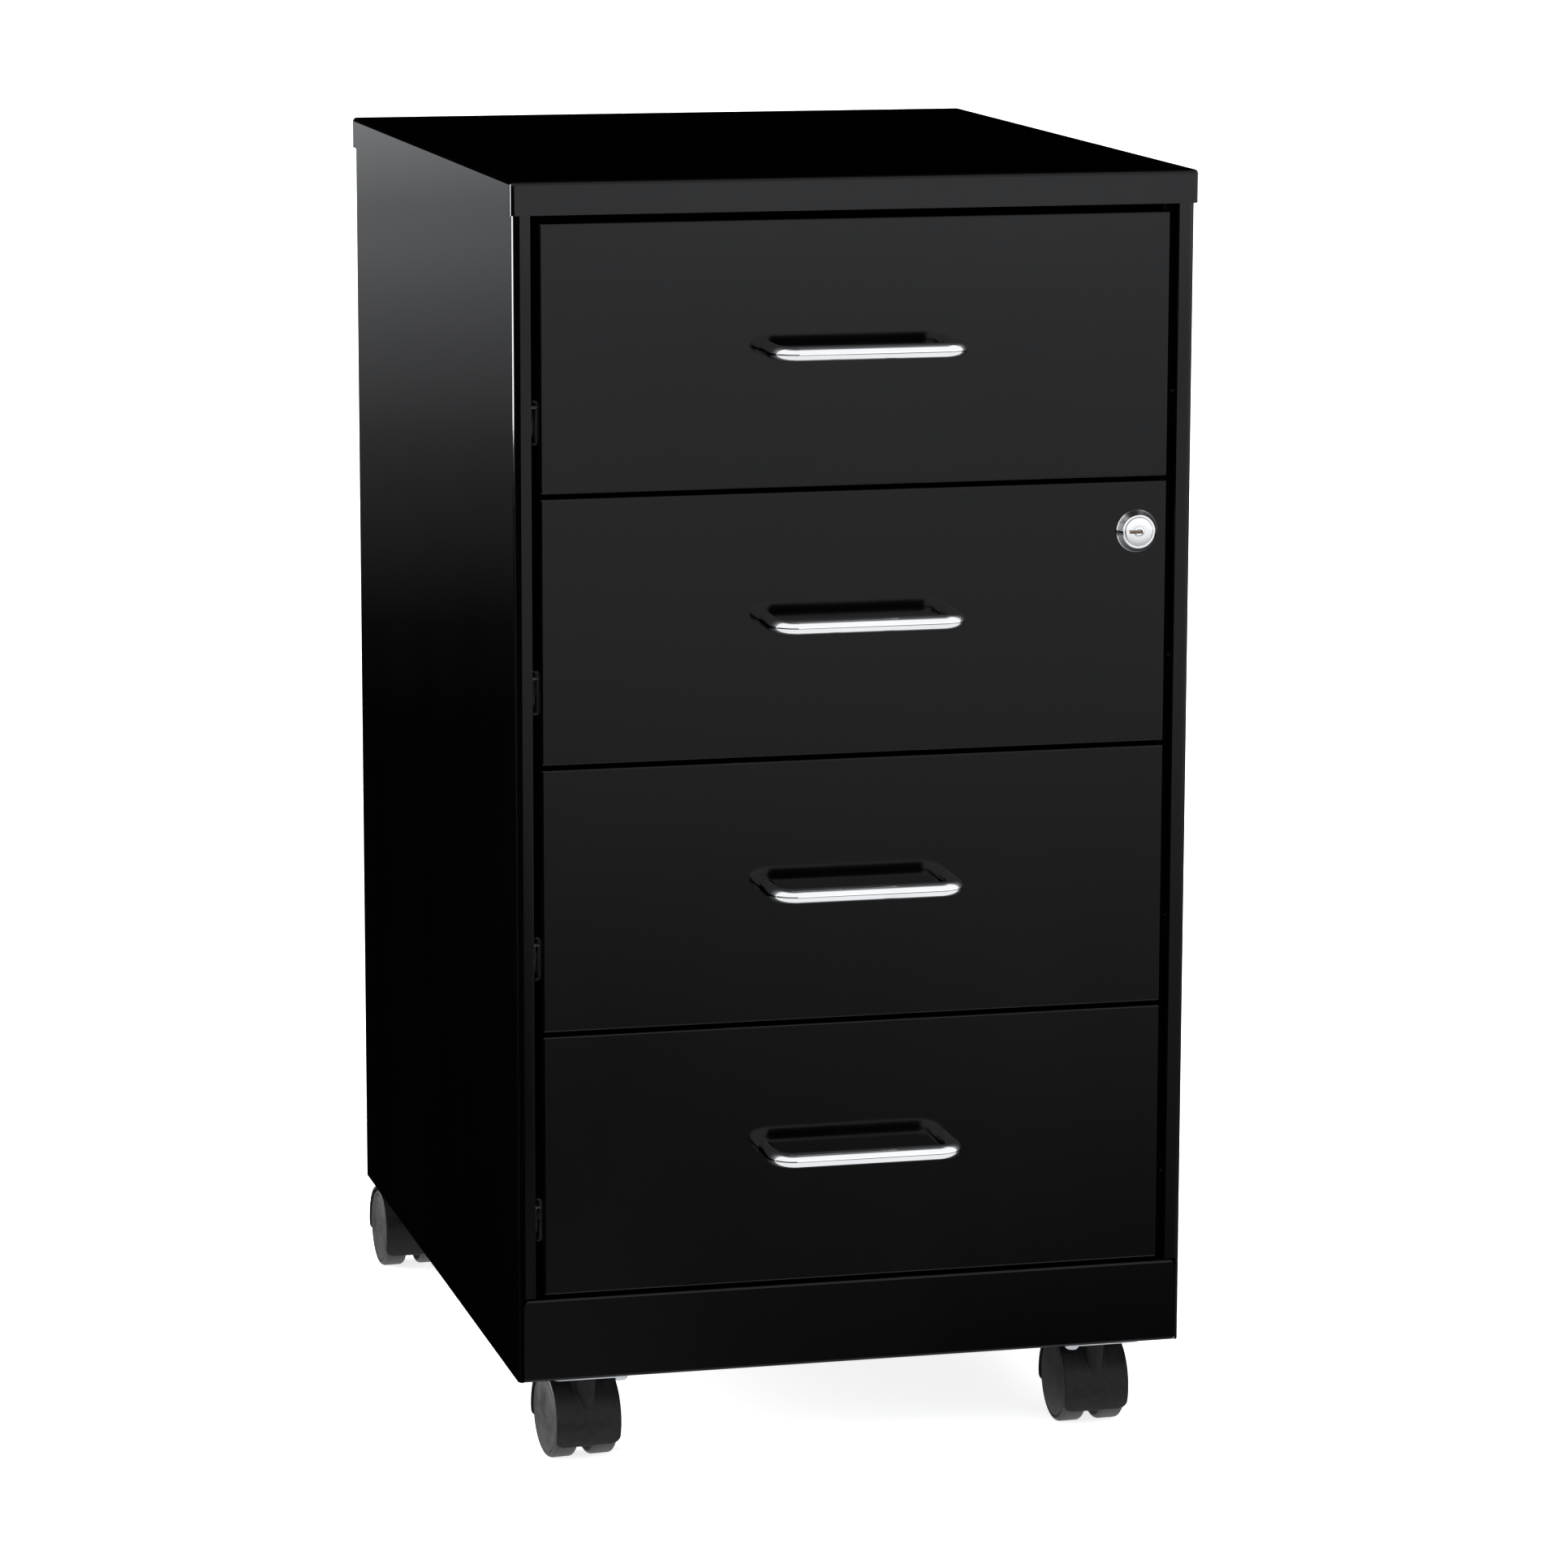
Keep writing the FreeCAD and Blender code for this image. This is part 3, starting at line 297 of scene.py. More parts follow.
@dataclass(frozen=True)
class Chrome:
    """Bright chrome plate with faint polishing lines."""

    name: str
    tint: tuple[float, float, float] = (0.92, 0.915, 0.915)
    shade: tuple[float, float, float] = (0.86, 0.855, 0.855)
    smoothest: float = 0.02
    roughest: float = 0.05
    lines: tuple[float, float, float] = (30.0, 900.0, 900.0)

    def material(self) -> bpy.types.Material:
        """Build the chrome's material."""
        recipe = Recipe(self.name)
        recipe.fixed(Metallic=1.0)
        haze = recipe.noise(45.0, 4.0)
        polish = recipe.noise(1.0, 2.0, recipe.stretched(self.lines))
        recipe.feed(recipe.blended(recipe.remapped(haze, 0.0, 1.0), self.tint, self.shade), "Base Color")
        recipe.feed(recipe.remapped(haze, self.smoothest, self.roughest), "Roughness")
        recipe.relief([(polish, 0.06, 0.02 * MM)])
        return recipe.material


@dataclass(frozen=True)
class Zinc:
    """Bright zinc-plated steel: faint grain, patchy gloss and a few dull spots."""

    name: str
    bright: tuple[float, float, float] = (0.70, 0.71, 0.72)
    dull: tuple[float, float, float] = (0.50, 0.52, 0.55)
    smoothest: float = 0.24
    roughest: float = 0.44

    def material(self) -> bpy.types.Material:
        """Build the zinc's material."""
        recipe = Recipe(self.name)
        recipe.fixed(Metallic=1.0)
        patches = recipe.noise(70.0, 5.0)
        grains = recipe.cells(420.0)
        mixed = recipe.combined(
            recipe.remapped(patches, 0.0, 0.75),
            recipe.remapped(grains, 0.0, 0.25, 0.0, 1.0),
        )
        recipe.feed(recipe.blended(mixed, self.bright, self.dull), "Base Color")
        recipe.feed(recipe.remapped(patches, self.smoothest, self.roughest), "Roughness")
        rolled = recipe.noise(1.0, 3.0, recipe.stretched((1500.0, 60.0, 1500.0)))
        recipe.relief([(patches, 0.10, 0.2 * MM), (rolled, 0.12, 0.03 * MM)])
        return recipe.material


@dataclass(frozen=True)
class Moulded:
    """Injection-moulded plastic: fine spark-eroded grain, flow marks and patches of dust."""

    name: str
    base: tuple[float, float, float]
    scuffed: tuple[float, float, float]
    dust: tuple[float, float, float] = (0.14, 0.135, 0.125)
    dustiness: float = 0.12
    smoothest: float = 0.34
    roughest: float = 0.50
    grain: float = 0.22
    grain_scale: float = 1500.0
    specular: float = 0.45

    def material(self) -> bpy.types.Material:
        """Build the plastic's material."""
        recipe = Recipe(self.name)
        recipe.fixed(Specular_IOR_Level=self.specular)
        flow = recipe.noise(60.0, 5.0)
        texture = recipe.noise(self.grain_scale, 2.0)
        scuff = recipe.blended(recipe.remapped(flow, 0.0, 1.0), self.base, self.scuffed)
        settled = recipe.remapped(recipe.noise(240.0, 6.0), 0.0, self.dustiness, 0.42, 0.75)
        mix = recipe.tree.nodes.new("ShaderNodeMix")
        mix.data_type = "RGBA"
        mix.inputs[7].default_value = (*self.dust, 1.0)
        recipe.tree.links.new(settled, mix.inputs[0])
        recipe.tree.links.new(scuff, mix.inputs[6])
        recipe.feed(mix.outputs[2], "Base Color")
        recipe.feed(recipe.remapped(flow, self.smoothest, self.roughest), "Roughness")
        recipe.relief([(flow, 0.06, 0.4 * MM), (texture, self.grain, 0.05 * MM)])
        return recipe.material


@dataclass(frozen=True)
class StageFloor:
    """Plain pale light-table floor with a barely visible unevenness."""

    name: str = "pale_floor"
    light: tuple[float, float, float] = (0.93, 0.93, 0.93)
    dark: tuple[float, float, float] = (0.91, 0.91, 0.915)
    glow: float = 0.85

    def material(self) -> bpy.types.Material:
        """Build the floor's material."""
        recipe = Recipe(self.name)
        recipe.fixed(Specular_IOR_Level=0.0, Emission_Strength=self.glow)
        clouds = recipe.noise(0.8, 3.0)
        tone = recipe.blended(recipe.remapped(clouds, 0.0, 1.0), self.light, self.dark)
        recipe.feed(tone, "Base Color")
        recipe.feed(tone, "Emission Color")
        recipe.feed(recipe.remapped(clouds, 0.75, 0.9), "Roughness")
        return recipe.material


class Finishes:
    """One material per finish, made once and shared by all the pieces that wear it."""

    def __init__(self) -> None:
        """Make every material."""
        self.enamel = Enamel("black_enamel").material()
        self.front = Enamel("black_enamel_front", smoothest=0.085, roughest=0.125).material()
        self.inner = Enamel(
            "thin_black_enamel",
            pigment=(0.003, 0.003, 0.0034),
            faded=(0.005, 0.005, 0.0056),
            smoothest=0.26,
            roughest=0.42,
        ).material()
        self.chrome = Chrome("chrome_plate").material()
        self.bezel = Chrome(
            "turned_chrome", smoothest=0.07, roughest=0.14, lines=(900.0, 60.0, 900.0)
        ).material()
        self.zinc = Zinc("zinc_plate").material()
        self.screw = Zinc("screw_steel", bright=(0.62, 0.63, 0.65), smoothest=0.2, roughest=0.36).material()
        self.nylon = Moulded(
            "natural_nylon", base=(0.62, 0.60, 0.54), scuffed=(0.52, 0.50, 0.44), dustiness=0.2, grain=0.1
        ).material()
        self.hood = Moulded(
            "hood_plastic",
            base=(0.0046, 0.0042, 0.0044),
            scuffed=(0.0068, 0.0064, 0.0066),
            dustiness=0.02,
            specular=0.16,
        ).material()
        self.wheel = Moulded(
            "wheel_plastic",
            base=(0.0118, 0.0114, 0.0118),
            scuffed=(0.017, 0.0165, 0.017),
            dustiness=0.05,
            smoothest=0.38,
            roughest=0.55,
        ).material()
        self.keyhole = Moulded(
            "keyway_brass",
            base=(0.16, 0.085, 0.055),
            scuffed=(0.08, 0.045, 0.03),
            specular=0.6,
            grain_scale=5000.0,
        ).material()


# ------------------------------------------------------------------------------------------------ shaping
@dataclass
class Form:
    """Points and faces on their way to becoming a mesh."""

    points: list[Vector] = field(default_factory=list)
    faces: list[tuple[int, ...]] = field(default_factory=list)

    def add(self, other: "Form") -> "Form":
        """Append another form's points and faces, and return this form."""
        start = len(self.points)
        self.points.extend(other.points)
        self.faces.extend(tuple(start + index for index in face) for face in other.faces)
        return self

    def moved(self, matrix: Matrix) -> "Form":
        """A copy moved by a matrix, turned right side out again if the matrix mirrors it."""
        points = [matrix @ point for point in self.points]
        if matrix.determinant() < 0:
            return Form(points, [tuple(reversed(face)) for face in self.faces])
        return Form(points, list(self.faces))

    def mesh(self, name: str) -> bpy.types.Mesh:
        """A mesh of this form with its faces turned outward.

        Args:
            name: The mesh's name.

        Returns:
            The mesh, with doubled points merged.
        """
        mesh = bpy.data.meshes.new(name)
        mesh.from_pydata(self.points, [], self.faces)
        tidy = bmesh.new()
        tidy.from_mesh(mesh)
        bmesh.ops.remove_doubles(tidy, verts=tidy.verts, dist=1e-7)
        bmesh.ops.recalc_face_normals(tidy, faces=tidy.faces)
        tidy.to_mesh(mesh)
        tidy.free()
        return mesh


def form_of(mesh: bpy.types.Mesh) -> Form:
    """The points and faces of a finished mesh."""
    points = [vertex.co.copy() for vertex in mesh.vertices]
    return Form(points, [tuple(face.vertices) for face in mesh.polygons])


def swept(section: Sequence[tuple[float, float]], stations: Sequence[Matrix], closed: bool = False) -> Form:
    """Carry a closed section through a row of stations.

    Args:
        section: Corner points (u, v) of the section, placed at (u, v, 0) of each station.
        stations: One matrix per place along the sweep.
        closed: True joins the last station to the first; otherwise both ends are capped.

    Returns:
        The swept form.
    """
    form = Form()
    count = len(section)
    for station in stations:
        form.points.extend(station @ Vector((u, v, 0.0)) for u, v in section)
    rings = len(stations)
    last = rings if closed else rings - 1
    for ring in range(last):
        here = ring * count
        there = ((ring + 1) % rings) * count
        for step in range(count):
            following = (step + 1) % count
            form.faces.append((here + step, here + following, there + following, there + step))
    if not closed:
        form.faces.append(tuple(reversed(range(count))))
        form.faces.append(tuple((rings - 1) * count + step for step in range(count)))
    return form


def lathed(profile: Sequence[tuple[float, float]], axis: Matrix, steps: int = 72) -> Form:
    """Turn a profile round an axis.

    Args:
        profile: (radius, height) pairs that start and end on the axis, or form a closed ring.
        axis: Matrix whose Z axis is the axis of the turned piece.
        steps: Facets round the axis.

    Returns:
        The turned form.
    """
    form = Form()
    rows: list[list[int]] = []
    for radius, height in profile:
        if radius <= 0.0:
            rows.append([len(form.points)] * steps)
            form.points.append(axis @ Vector((0.0, 0.0, height)))
            continue
        row = []
        for step in range(steps):
            angle = TAU * step / steps
            row.append(len(form.points))
            form.points.append(axis @ Vector((radius * math.cos(angle), radius * math.sin(angle), height)))
        rows.append(row)
    on_axis = profile[0][0] <= 0.0 and profile[-1][0] <= 0.0
    pairs = list(zip(rows, rows[1:])) + ([] if on_axis else [(rows[-1], rows[0])])
    for lower, upper in pairs:
        for step in range(steps):
            following = (step + 1) % steps
            corners = (lower[step], lower[following], upper[following], upper[step])
            distinct = tuple(dict.fromkeys(corners))
            if len(distinct) > 2:
                form.faces.append(distinct)
    return form


def arc(
    centre: tuple[float, float], radius: float, start: float, end: float, steps: int
) -> list[tuple[float, float]]:
    """Points of a circular arc.

    Args:
        centre: Centre of the circle.
        radius: Its radius.
        start: First angle in degrees.
        end: Last angle in degrees.
        steps: Number of chords.

    Returns:
        steps + 1 points, both ends included.
    """
    points = []
    for step in range(steps + 1):
        angle = math.radians(start + (end - start) * step / steps)
        points.append((centre[0] + radius * math.cos(angle), centre[1] + radius * math.sin(angle)))
    return points


def block(low: Vector, high: Vector) -> Form:
    """A plain box between two corners, used only to carve with."""
    section = [(low.x, low.y), (high.x, low.y), (high.x, high.y), (low.x, high.y)]
    return swept(section, [Matrix.Translation((0, 0, low.z)), Matrix.Translation((0, 0, high.z))])


def bent_section(
    outline: Sequence[tuple[float, float]], thickness: float, radii: Sequence[float], steps: int = 8
) -> list[tuple[float, float]]:
    """The end view of a bent sheet as one closed ring of points.

    Args:
        outline: Corners along one face of the sheet; the metal lies to the left.
        thickness: Sheet thickness.
        radii: Outside radius of each bend in turn.
        steps: Facets in each bend.

    Returns:
        The ring, out along the outline and back along the other face.
    """
    corners = [Vector(point) for point in outline]
    near = [corners[0].copy()]
    first = (corners[1] - corners[0]).normalized()
    far = [corners[0] + Vector((-first.y, first.x)) * thickness]
    for before, corner, after, radius in zip(corners, corners[1:], corners[2:], radii):
        arriving = (corner - before).normalized()
        leaving = (after - corner).normalized()
        turn = math.atan2(arriving.cross(leaving), arriving.dot(leaving))
        side = math.copysign(1.0, turn)
        near_radius = radius if turn > 0 else radius - thickness
        far_radius = radius - thickness if turn > 0 else radius
        left = Vector((-arriving.y, arriving.x))
        centre = corner - arriving * near_radius * math.tan(abs(turn) / 2) + left * side * near_radius
        for step in range(steps + 1):
            angle = turn * step / steps
            spoke = Matrix.Rotation(angle, 2) @ (-left * side)
            near.append(centre + spoke * near_radius)
            far.append(centre + spoke * far_radius)
    last = (corners[-1] - corners[-2]).normalized()
    near.append(corners[-1].copy())
    far.append(corners[-1] + Vector((-last.y, last.x)) * thickness)
    return [tuple(point) for point in near + far[::-1]]


ALONG_Z = Matrix.Identity(4)
ALONG_X = Matrix(((0, 0, 1, 0), (1, 0, 0, 0), (0, 1, 0, 0), (0, 0, 0, 1)))
ALONG_Y = Matrix(((1, 0, 0, 0), (0, 0, 1, 0), (0, 1, 0, 0), (0, 0, 0, 1)))


def drawn_out(section: Sequence[tuple[float, float]], along: Matrix, start: float, end: float) -> Form:
    """A section drawn straight along an axis.

    Args:
        section: Ring of points in the plane across the axis, in X, Y, Z order.
        along: ALONG_X, ALONG_Y or ALONG_Z.
        start: Where the draw begins on that axis.
        end: Where it ends.

    Returns:
        The drawn form.
    """
    stations = [along @ Matrix.Translation((0, 0, place)) for place in (start, end)]
    return swept(section, stations)


def shaped(mesh: bpy.types.Mesh, modifiers: Iterable[Callable[[bpy.types.Object], None]]) -> bpy.types.Mesh:
    """Run modifiers on a mesh and keep the result.

    Args:
        mesh: The mesh to start from; it is used up.
        modifiers: Functions that each add one modifier to the object they are given.

    Returns:
        The resulting mesh.
    """
    carrier = bpy.data.objects.new("carrier", mesh)
    bpy.context.scene.collection.objects.link(carrier)
    for add_modifier in modifiers:
        add_modifier(carrier)
    graph = bpy.context.evaluated_depsgraph_get()
    result = bpy.data.meshes.new_from_object(carrier.evaluated_get(graph))
    bpy.data.objects.remove(carrier)
    bpy.data.meshes.remove(mesh)
    return result


def boolean(tool: bpy.types.Object, joining: Joining) -> Callable[[bpy.types.Object], None]:
    """A change that cuts an object with another one or joins the two.

    Args:
        tool: The object to cut with or to join on.
        joining: What the tool does.

    Returns:
        A function that adds the change to the object it is given.
    """

    def add(carrier: bpy.types.Object) -> None:
        """Add the change to one object."""
        modifier = carrier.modifiers.new("boolean", "BOOLEAN")
        modifier.operation = joining.value
        modifier.solver = "EXACT"
        modifier.object = tool

    return add


def worked(mesh: bpy.types.Mesh, forms: Sequence[Form], joining: Joining) -> bpy.types.Mesh:
    """Cut closed forms out of a mesh, or join them on.

    Args:
        mesh: The mesh to work on; it is used up.
        forms: Closed forms, each taken in turn.
        joining: What the forms do to the mesh.

    Returns:
        The resulting mesh.
    """
    if not forms:
        return mesh
    tools = []
    for form in forms:
        tool = bpy.data.objects.new("tool", form.mesh("tool"))
        bpy.context.scene.collection.objects.link(tool)
        tools.append(tool)
    result = shaped(mesh, [boolean(tool, joining) for tool in tools])
    for tool in tools:
        spare = tool.data
        bpy.data.objects.remove(tool)
        bpy.data.meshes.remove(spare)
    return result


def carved(mesh: bpy.types.Mesh, cutters: Sequence[Form]) -> bpy.types.Mesh:
    """Cut closed forms out of a mesh.

    Args:
        mesh: The mesh to cut; it is used up.
        cutters: Closed forms, each removed in turn.

    Returns:
        What is left.
    """
    return worked(mesh, cutters, Joining.CUT)


def softened(mesh: bpy.types.Mesh, width: float, steps: int = 2, angle: float = 50.0) -> bpy.types.Mesh:
    """Round every edge that turns by more than an angle.

    Args:
        mesh: The mesh to round; it is used up.
        width: Width of the rounding.
        steps: Facets across it.
        angle: Smallest turn, in degrees, that counts as an edge.

    Returns:
        The rounded mesh.
    """

    def add(carrier: bpy.types.Object) -> None:
        """Add the rounding to one object."""
        modifier = carrier.modifiers.new("soft_edges", "BEVEL")
        modifier.width = width
        modifier.segments = steps
        modifier.limit_method = "ANGLE"
        modifier.angle_limit = math.radians(angle)
        modifier.use_clamp_overlap = True

    return shaped(mesh, [add])


def kept_within(mesh: bpy.types.Mesh, low: Vector, high: Vector) -> bpy.types.Mesh:
    """Bring points that a rounding pushed out of a box back onto its faces.

    Args:
        mesh: The mesh to correct in place.
        low: Lowest corner of the box.
        high: Highest corner.

    Returns:
        The same mesh.
    """
    for vertex in mesh.vertices:
        vertex.co = Vector(min(max(value, least), most) for value, least, most in zip(vertex.co, low, high))
    return mesh


def pressed_shell(
    low: Vector, high: Vector, opening: Opening, thickness: float, radius: float, steps: int = 6
) -> bpy.types.Mesh:
    """A pressed sheet box with one open side.

    Args:
        low: Lowest outer corner.
        high: Highest outer corner.
        opening: The side left open.
        thickness: Sheet thickness, measured inward.
        radius: Outside radius of every other edge.
        steps: Facets round each edge.

    Returns:
        The shell's mesh.
    """
    axis, direction = opening.value
    shell = bmesh.new()
    bmesh.ops.create_cube(shell, size=1.0)
    size = high - low
    centre = (high + low) / 2
    for vertex in shell.verts:
        vertex.co = Vector((vertex.co.x * size.x, vertex.co.y * size.y, vertex.co.z * size.z)) + centre
    level = (high if direction > 0 else low)[axis]
    rounded = [edge for edge in shell.edges if any(abs(v.co[axis] - level) > 1e-6 for v in edge.verts)]
    bmesh.ops.bevel(
        shell, geom=rounded, offset=radius, segments=steps, profile=0.5, affect="EDGES", clamp_overlap=True
    )
    lids = [face for face in shell.faces if all(abs(v.co[axis] - level) < 1e-6 for v in face.verts)]
    bmesh.ops.delete(shell, geom=lids, context="FACES_ONLY")
    bmesh.ops.recalc_face_normals(shell, faces=shell.faces)
    mesh = bpy.data.meshes.new("shell")
    shell.to_mesh(mesh)
    shell.free()

    def thicken(carrier: bpy.types.Object) -> None:
        """Give the shell the sheet's thickness."""
        modifier = carrier.modifiers.new("sheet", "SOLIDIFY")
        modifier.thickness = thickness
        modifier.offset = -1.0
        modifier.use_even_offset = True
        modifier.use_quality_normals = True

    return shaped(mesh, [thicken])


@dataclass
class Bench:
    """Where finished meshes become pieces of the cabinet."""

    finishes: Finishes
    made: int = 0

    def piece(
        self,
        name: str,
        mesh: bpy.types.Mesh,
        material: bpy.types.Material,
        body: str,
        slot: Slot,
        stands_for: Sequence[str] = (),
        crease: float = 34.0,
        weighted: bool = False,
    ) -> bpy.types.Object:
        """Make one piece, dress it and fix it to its body.

        Args:
            name: The piece's name.
            mesh: Its mesh, in place.
            material: Its finish.
            body: The body it moves with.
            slot: Not used; the record's slot its finish belongs to.
            stands_for: The frame's nodes it replaces.
            crease: Edges that turn by more than this many degrees stay crisp.
            weighted: True keeps large flat faces flat beside small round ones.

        Returns:
            The piece.
        """
        mesh.name = name
        mesh.materials.clear()
        mesh.materials.append(material)
        mesh.shade_smooth()
        mesh.set_sharp_from_angle(angle=math.radians(crease))
        made = bpy.data.objects.new(name, mesh)
        bpy.context.scene.collection.objects.link(made)
        if weighted:
            modifier = made.modifiers.new("flat_faces", "WEIGHTED_NORMAL")
            modifier.keep_sharp = True
            modifier.weight = 60
        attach(made, body)
        if stands_for:
            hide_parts(*stands_for)
        self.made += 1
        log.info("%s: %d faces on %s", name, len(mesh.polygons), body)
        return made

    def dress(self, nodes: Iterable[str], material: bpy.types.Material) -> None:
        """Give frame nodes that stay visible their finish.

        Args:
            nodes: Names of the nodes.
            material: The finish.
        """
        for node in nodes:
            mesh = frame["nodes"][node].data
            mesh.materials.clear()
            mesh.materials.append(material)
            log.info("%s: dressed in %s", node, material.name)


@dataclass(frozen=True)
class Datum:
    """Planes of the carcass that other pieces are placed from."""

    front_y: float
    rear_y: float
    bottom_z: float
    half_width: float
    side_top: float

    @staticmethod
    def read() -> "Datum":
        """Read the planes from the frame."""
        low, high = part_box("side_panel_right")
        toe_low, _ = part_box("toe_rail")
        return Datum(toe_low.y, high.y, low.z, high.x, high.z)


# ------------------------------------------------------------------------------------------------ carcass
@dataclass
class Carcass:
    """Sides, lid, toe rail and the plain sheets and rails inside."""

    bench: Bench
    datum: Datum
    sheet: float = 0.8 * MM
    corner_radius: float = 4.0 * MM
    return_radius: float = 0.95 * MM
    stile_inner_x: float = 170.4 * MM
    stile_return: float = 8.0 * MM
    rear_flange: float = 20.0 * MM
    flange_width: float = 12.0 * MM
    flange_short: float = 10.0 * MM
    seam: float = 0.6 * MM
    toe_bend: float = 1.7 * MM
    toe_corner: float = 4.5 * MM
    cap_radius: float = 2.2 * MM
    slit: float = 1.6 * MM
    relief: float = 1.1 * MM
    weld_pitch: float = 62.0 * MM
    weld_margin: float = 30.0 * MM
    weld_radius: float = 2.6 * MM

    def build(self) -> None:
        """Build and dress every piece of the carcass."""
        for side in Side:
            self.side_panel(side)
        self.cap()
        self.toe_rail()
        self.spot_welds()
        finishes = self.bench.finishes
        self.bench.dress(["back_panel"], finishes.enamel)
        self.bench.dress(["base_pan", "front_uprights", "rear_uprights"], finishes.inner)
        self.bench.dress(["left_rails", "right_rails"], finishes.zinc)

    def side_panel(self, side: Side) -> None:
        """One side with its stile, rear flange and top flange.

        Args:
            side: Which side to build.
        """
        datum = self.datum
        half = datum.half_width
        outline = [
            (-half + self.rear_flange, datum.rear_y),
            (-half, datum.rear_y),
            (-half, datum.front_y),
            (-self.stile_inner_x, datum.front_y),
            (-self.stile_inner_x, datum.front_y + self.stile_return),
        ]
        radii = (self.corner_radius, self.corner_radius, self.return_radius)
        section = bent_section(outline, self.sheet, radii, 12)
        form = drawn_out(section, ALONG_Z, datum.bottom_z, datum.side_top)
        toe_low, toe_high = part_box("toe_rail")
        behind_y = datum.front_y + self.stile_return + 1 * MM
        notch = block(
            Vector((toe_low.x - 0.4 * MM, datum.front_y - 5 * MM, datum.bottom_z - 5 * MM)),
            Vector((-self.stile_inner_x + 1 * MM, behind_y, toe_high.z + self.seam)),
        )
        mesh = softened(carved(form.mesh("panel"), [notch]), 0.16 * MM, 2)
        short = self.flange_short
        flange = block(
            Vector((-half + self.sheet, datum.front_y + short, datum.side_top - self.sheet)),
            Vector((-half + self.flange_width, datum.rear_y - short, datum.side_top)),
        )
        whole = form_of(mesh).add(flange)
        if side is Side.RIGHT:
            whole = whole.moved(Matrix.Scale(-1, 4, Vector((1, 0, 0))))
        name = side.name.lower()
        self.bench.piece(
            f"side_shell_{name}",
            whole.mesh("panel"),
            self.bench.finishes.enamel,
            CABINET,
            Slot.ENAMEL,
            [f"side_panel_{name}"],
            weighted=True,
        )

    def cap(self) -> None:
        """Lid with welded corners, relief slits in the side flanges and a hem behind the front one."""
        low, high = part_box("top_cap")
        shell = pressed_shell(low, high, Opening.BELOW, self.sheet, self.cap_radius, 8)
        cutters = []
        inset = self.cap_radius + 0.8 * MM
        slit_top = high.z - self.cap_radius - self.relief
        for side in Side:
            outer = side.value * (high.x + 1 * MM)
            inner = side.value * (high.x - self.sheet - 0.3 * MM)
            x0, x1 = sorted((outer, inner))
            for y in (low.y + inset, high.y - inset):
                cutters.append(
                    block(
                        Vector((x0, y - self.slit / 2, low.z - 1 * MM)),
                        Vector((x1, y + self.slit / 2, slit_top)),
                    )
                )
                ring = arc((y, slit_top), self.relief, 0.0, 345.0, 23)
                cutters.append(drawn_out(ring, ALONG_X, x0, x1))
            heel = high.y - inset - self.slit / 2
            cutters.append(self.corner_waste(heel, low.z, 5.0 * MM, x0, x1))
        shell = kept_within(softened(carved(shell, cutters), 0.12 * MM, 2, 60.0), low, high)
        hem_half = self.stile_inner_x - 0.6 * MM
        hem = block(
            Vector((-hem_half, low.y + self.sheet, low.z)),
            Vector((hem_half, self.datum.front_y + self.stile_return, low.z + self.sheet)),
        )
        whole = form_of(shell).add(hem)
        self.bench.piece(
            "cap_shell",
            whole.mesh("cap"),
            self.bench.finishes.enamel,
            CABINET,
            Slot.ENAMEL,
            ["top_cap"],
            weighted=True,
        )

    @staticmethod
    def corner_waste(y: float, z: float, radius: float, x0: float, x1: float) -> Form:
        """What is cut away to round a flange's lower rear corner.

        Args:
            y: The flange's rear end.
            z: Its lower edge.
            radius: Radius of the rounding.
            x0: Start of the cut across the flange.
            x1: End of the cut.

        Returns:
            The waste as a closed form.
        """
        extra = 0.2 * MM
        ring = [(y + extra, z - extra), (y + extra, z + radius)]
        ring += arc((y - radius, z + radius), radius, 0.0, -90.0, 10)
        ring.append((y - radius, z - extra))
        return drawn_out(ring, ALONG_X, x0, x1)

    def toe_rail(self) -> None:
        """Channel across the front below the lowest drawer."""
        low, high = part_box("toe_rail")
        outline = [(high.y, high.z), (low.y, high.z), (low.y, low.z), (high.y, low.z)]
        section = bent_section(outline, self.sheet, (self.toe_bend, self.toe_bend), 8)
        form = drawn_out(section, ALONG_X, low.x, high.x)
        cutters = []
        extra = 0.5 * MM
        radius = self.toe_corner
        for side in Side:
            edge = side.value * high.x
            beyond = edge + side.value * extra
            ring = [(beyond, high.z + extra), (beyond, high.z - radius)]
            turn = (0.0, 90.0) if side is Side.RIGHT else (180.0, 90.0)
            ring += arc((edge - side.value * radius, high.z - radius), radius, *turn, 10)
            ring.append((edge - side.value * radius, high.z + extra))
            cutters.append(drawn_out(ring, ALONG_Y, low.y - extra, high.y + extra))
        mesh = softened(carved(form.mesh("toe"), cutters), 0.15 * MM, 2, 60.0)
        self.bench.piece(
            "toe_kick", mesh, self.bench.finishes.enamel, CABINET, Slot.ENAMEL, ["toe_rail"], weighted=True
        )

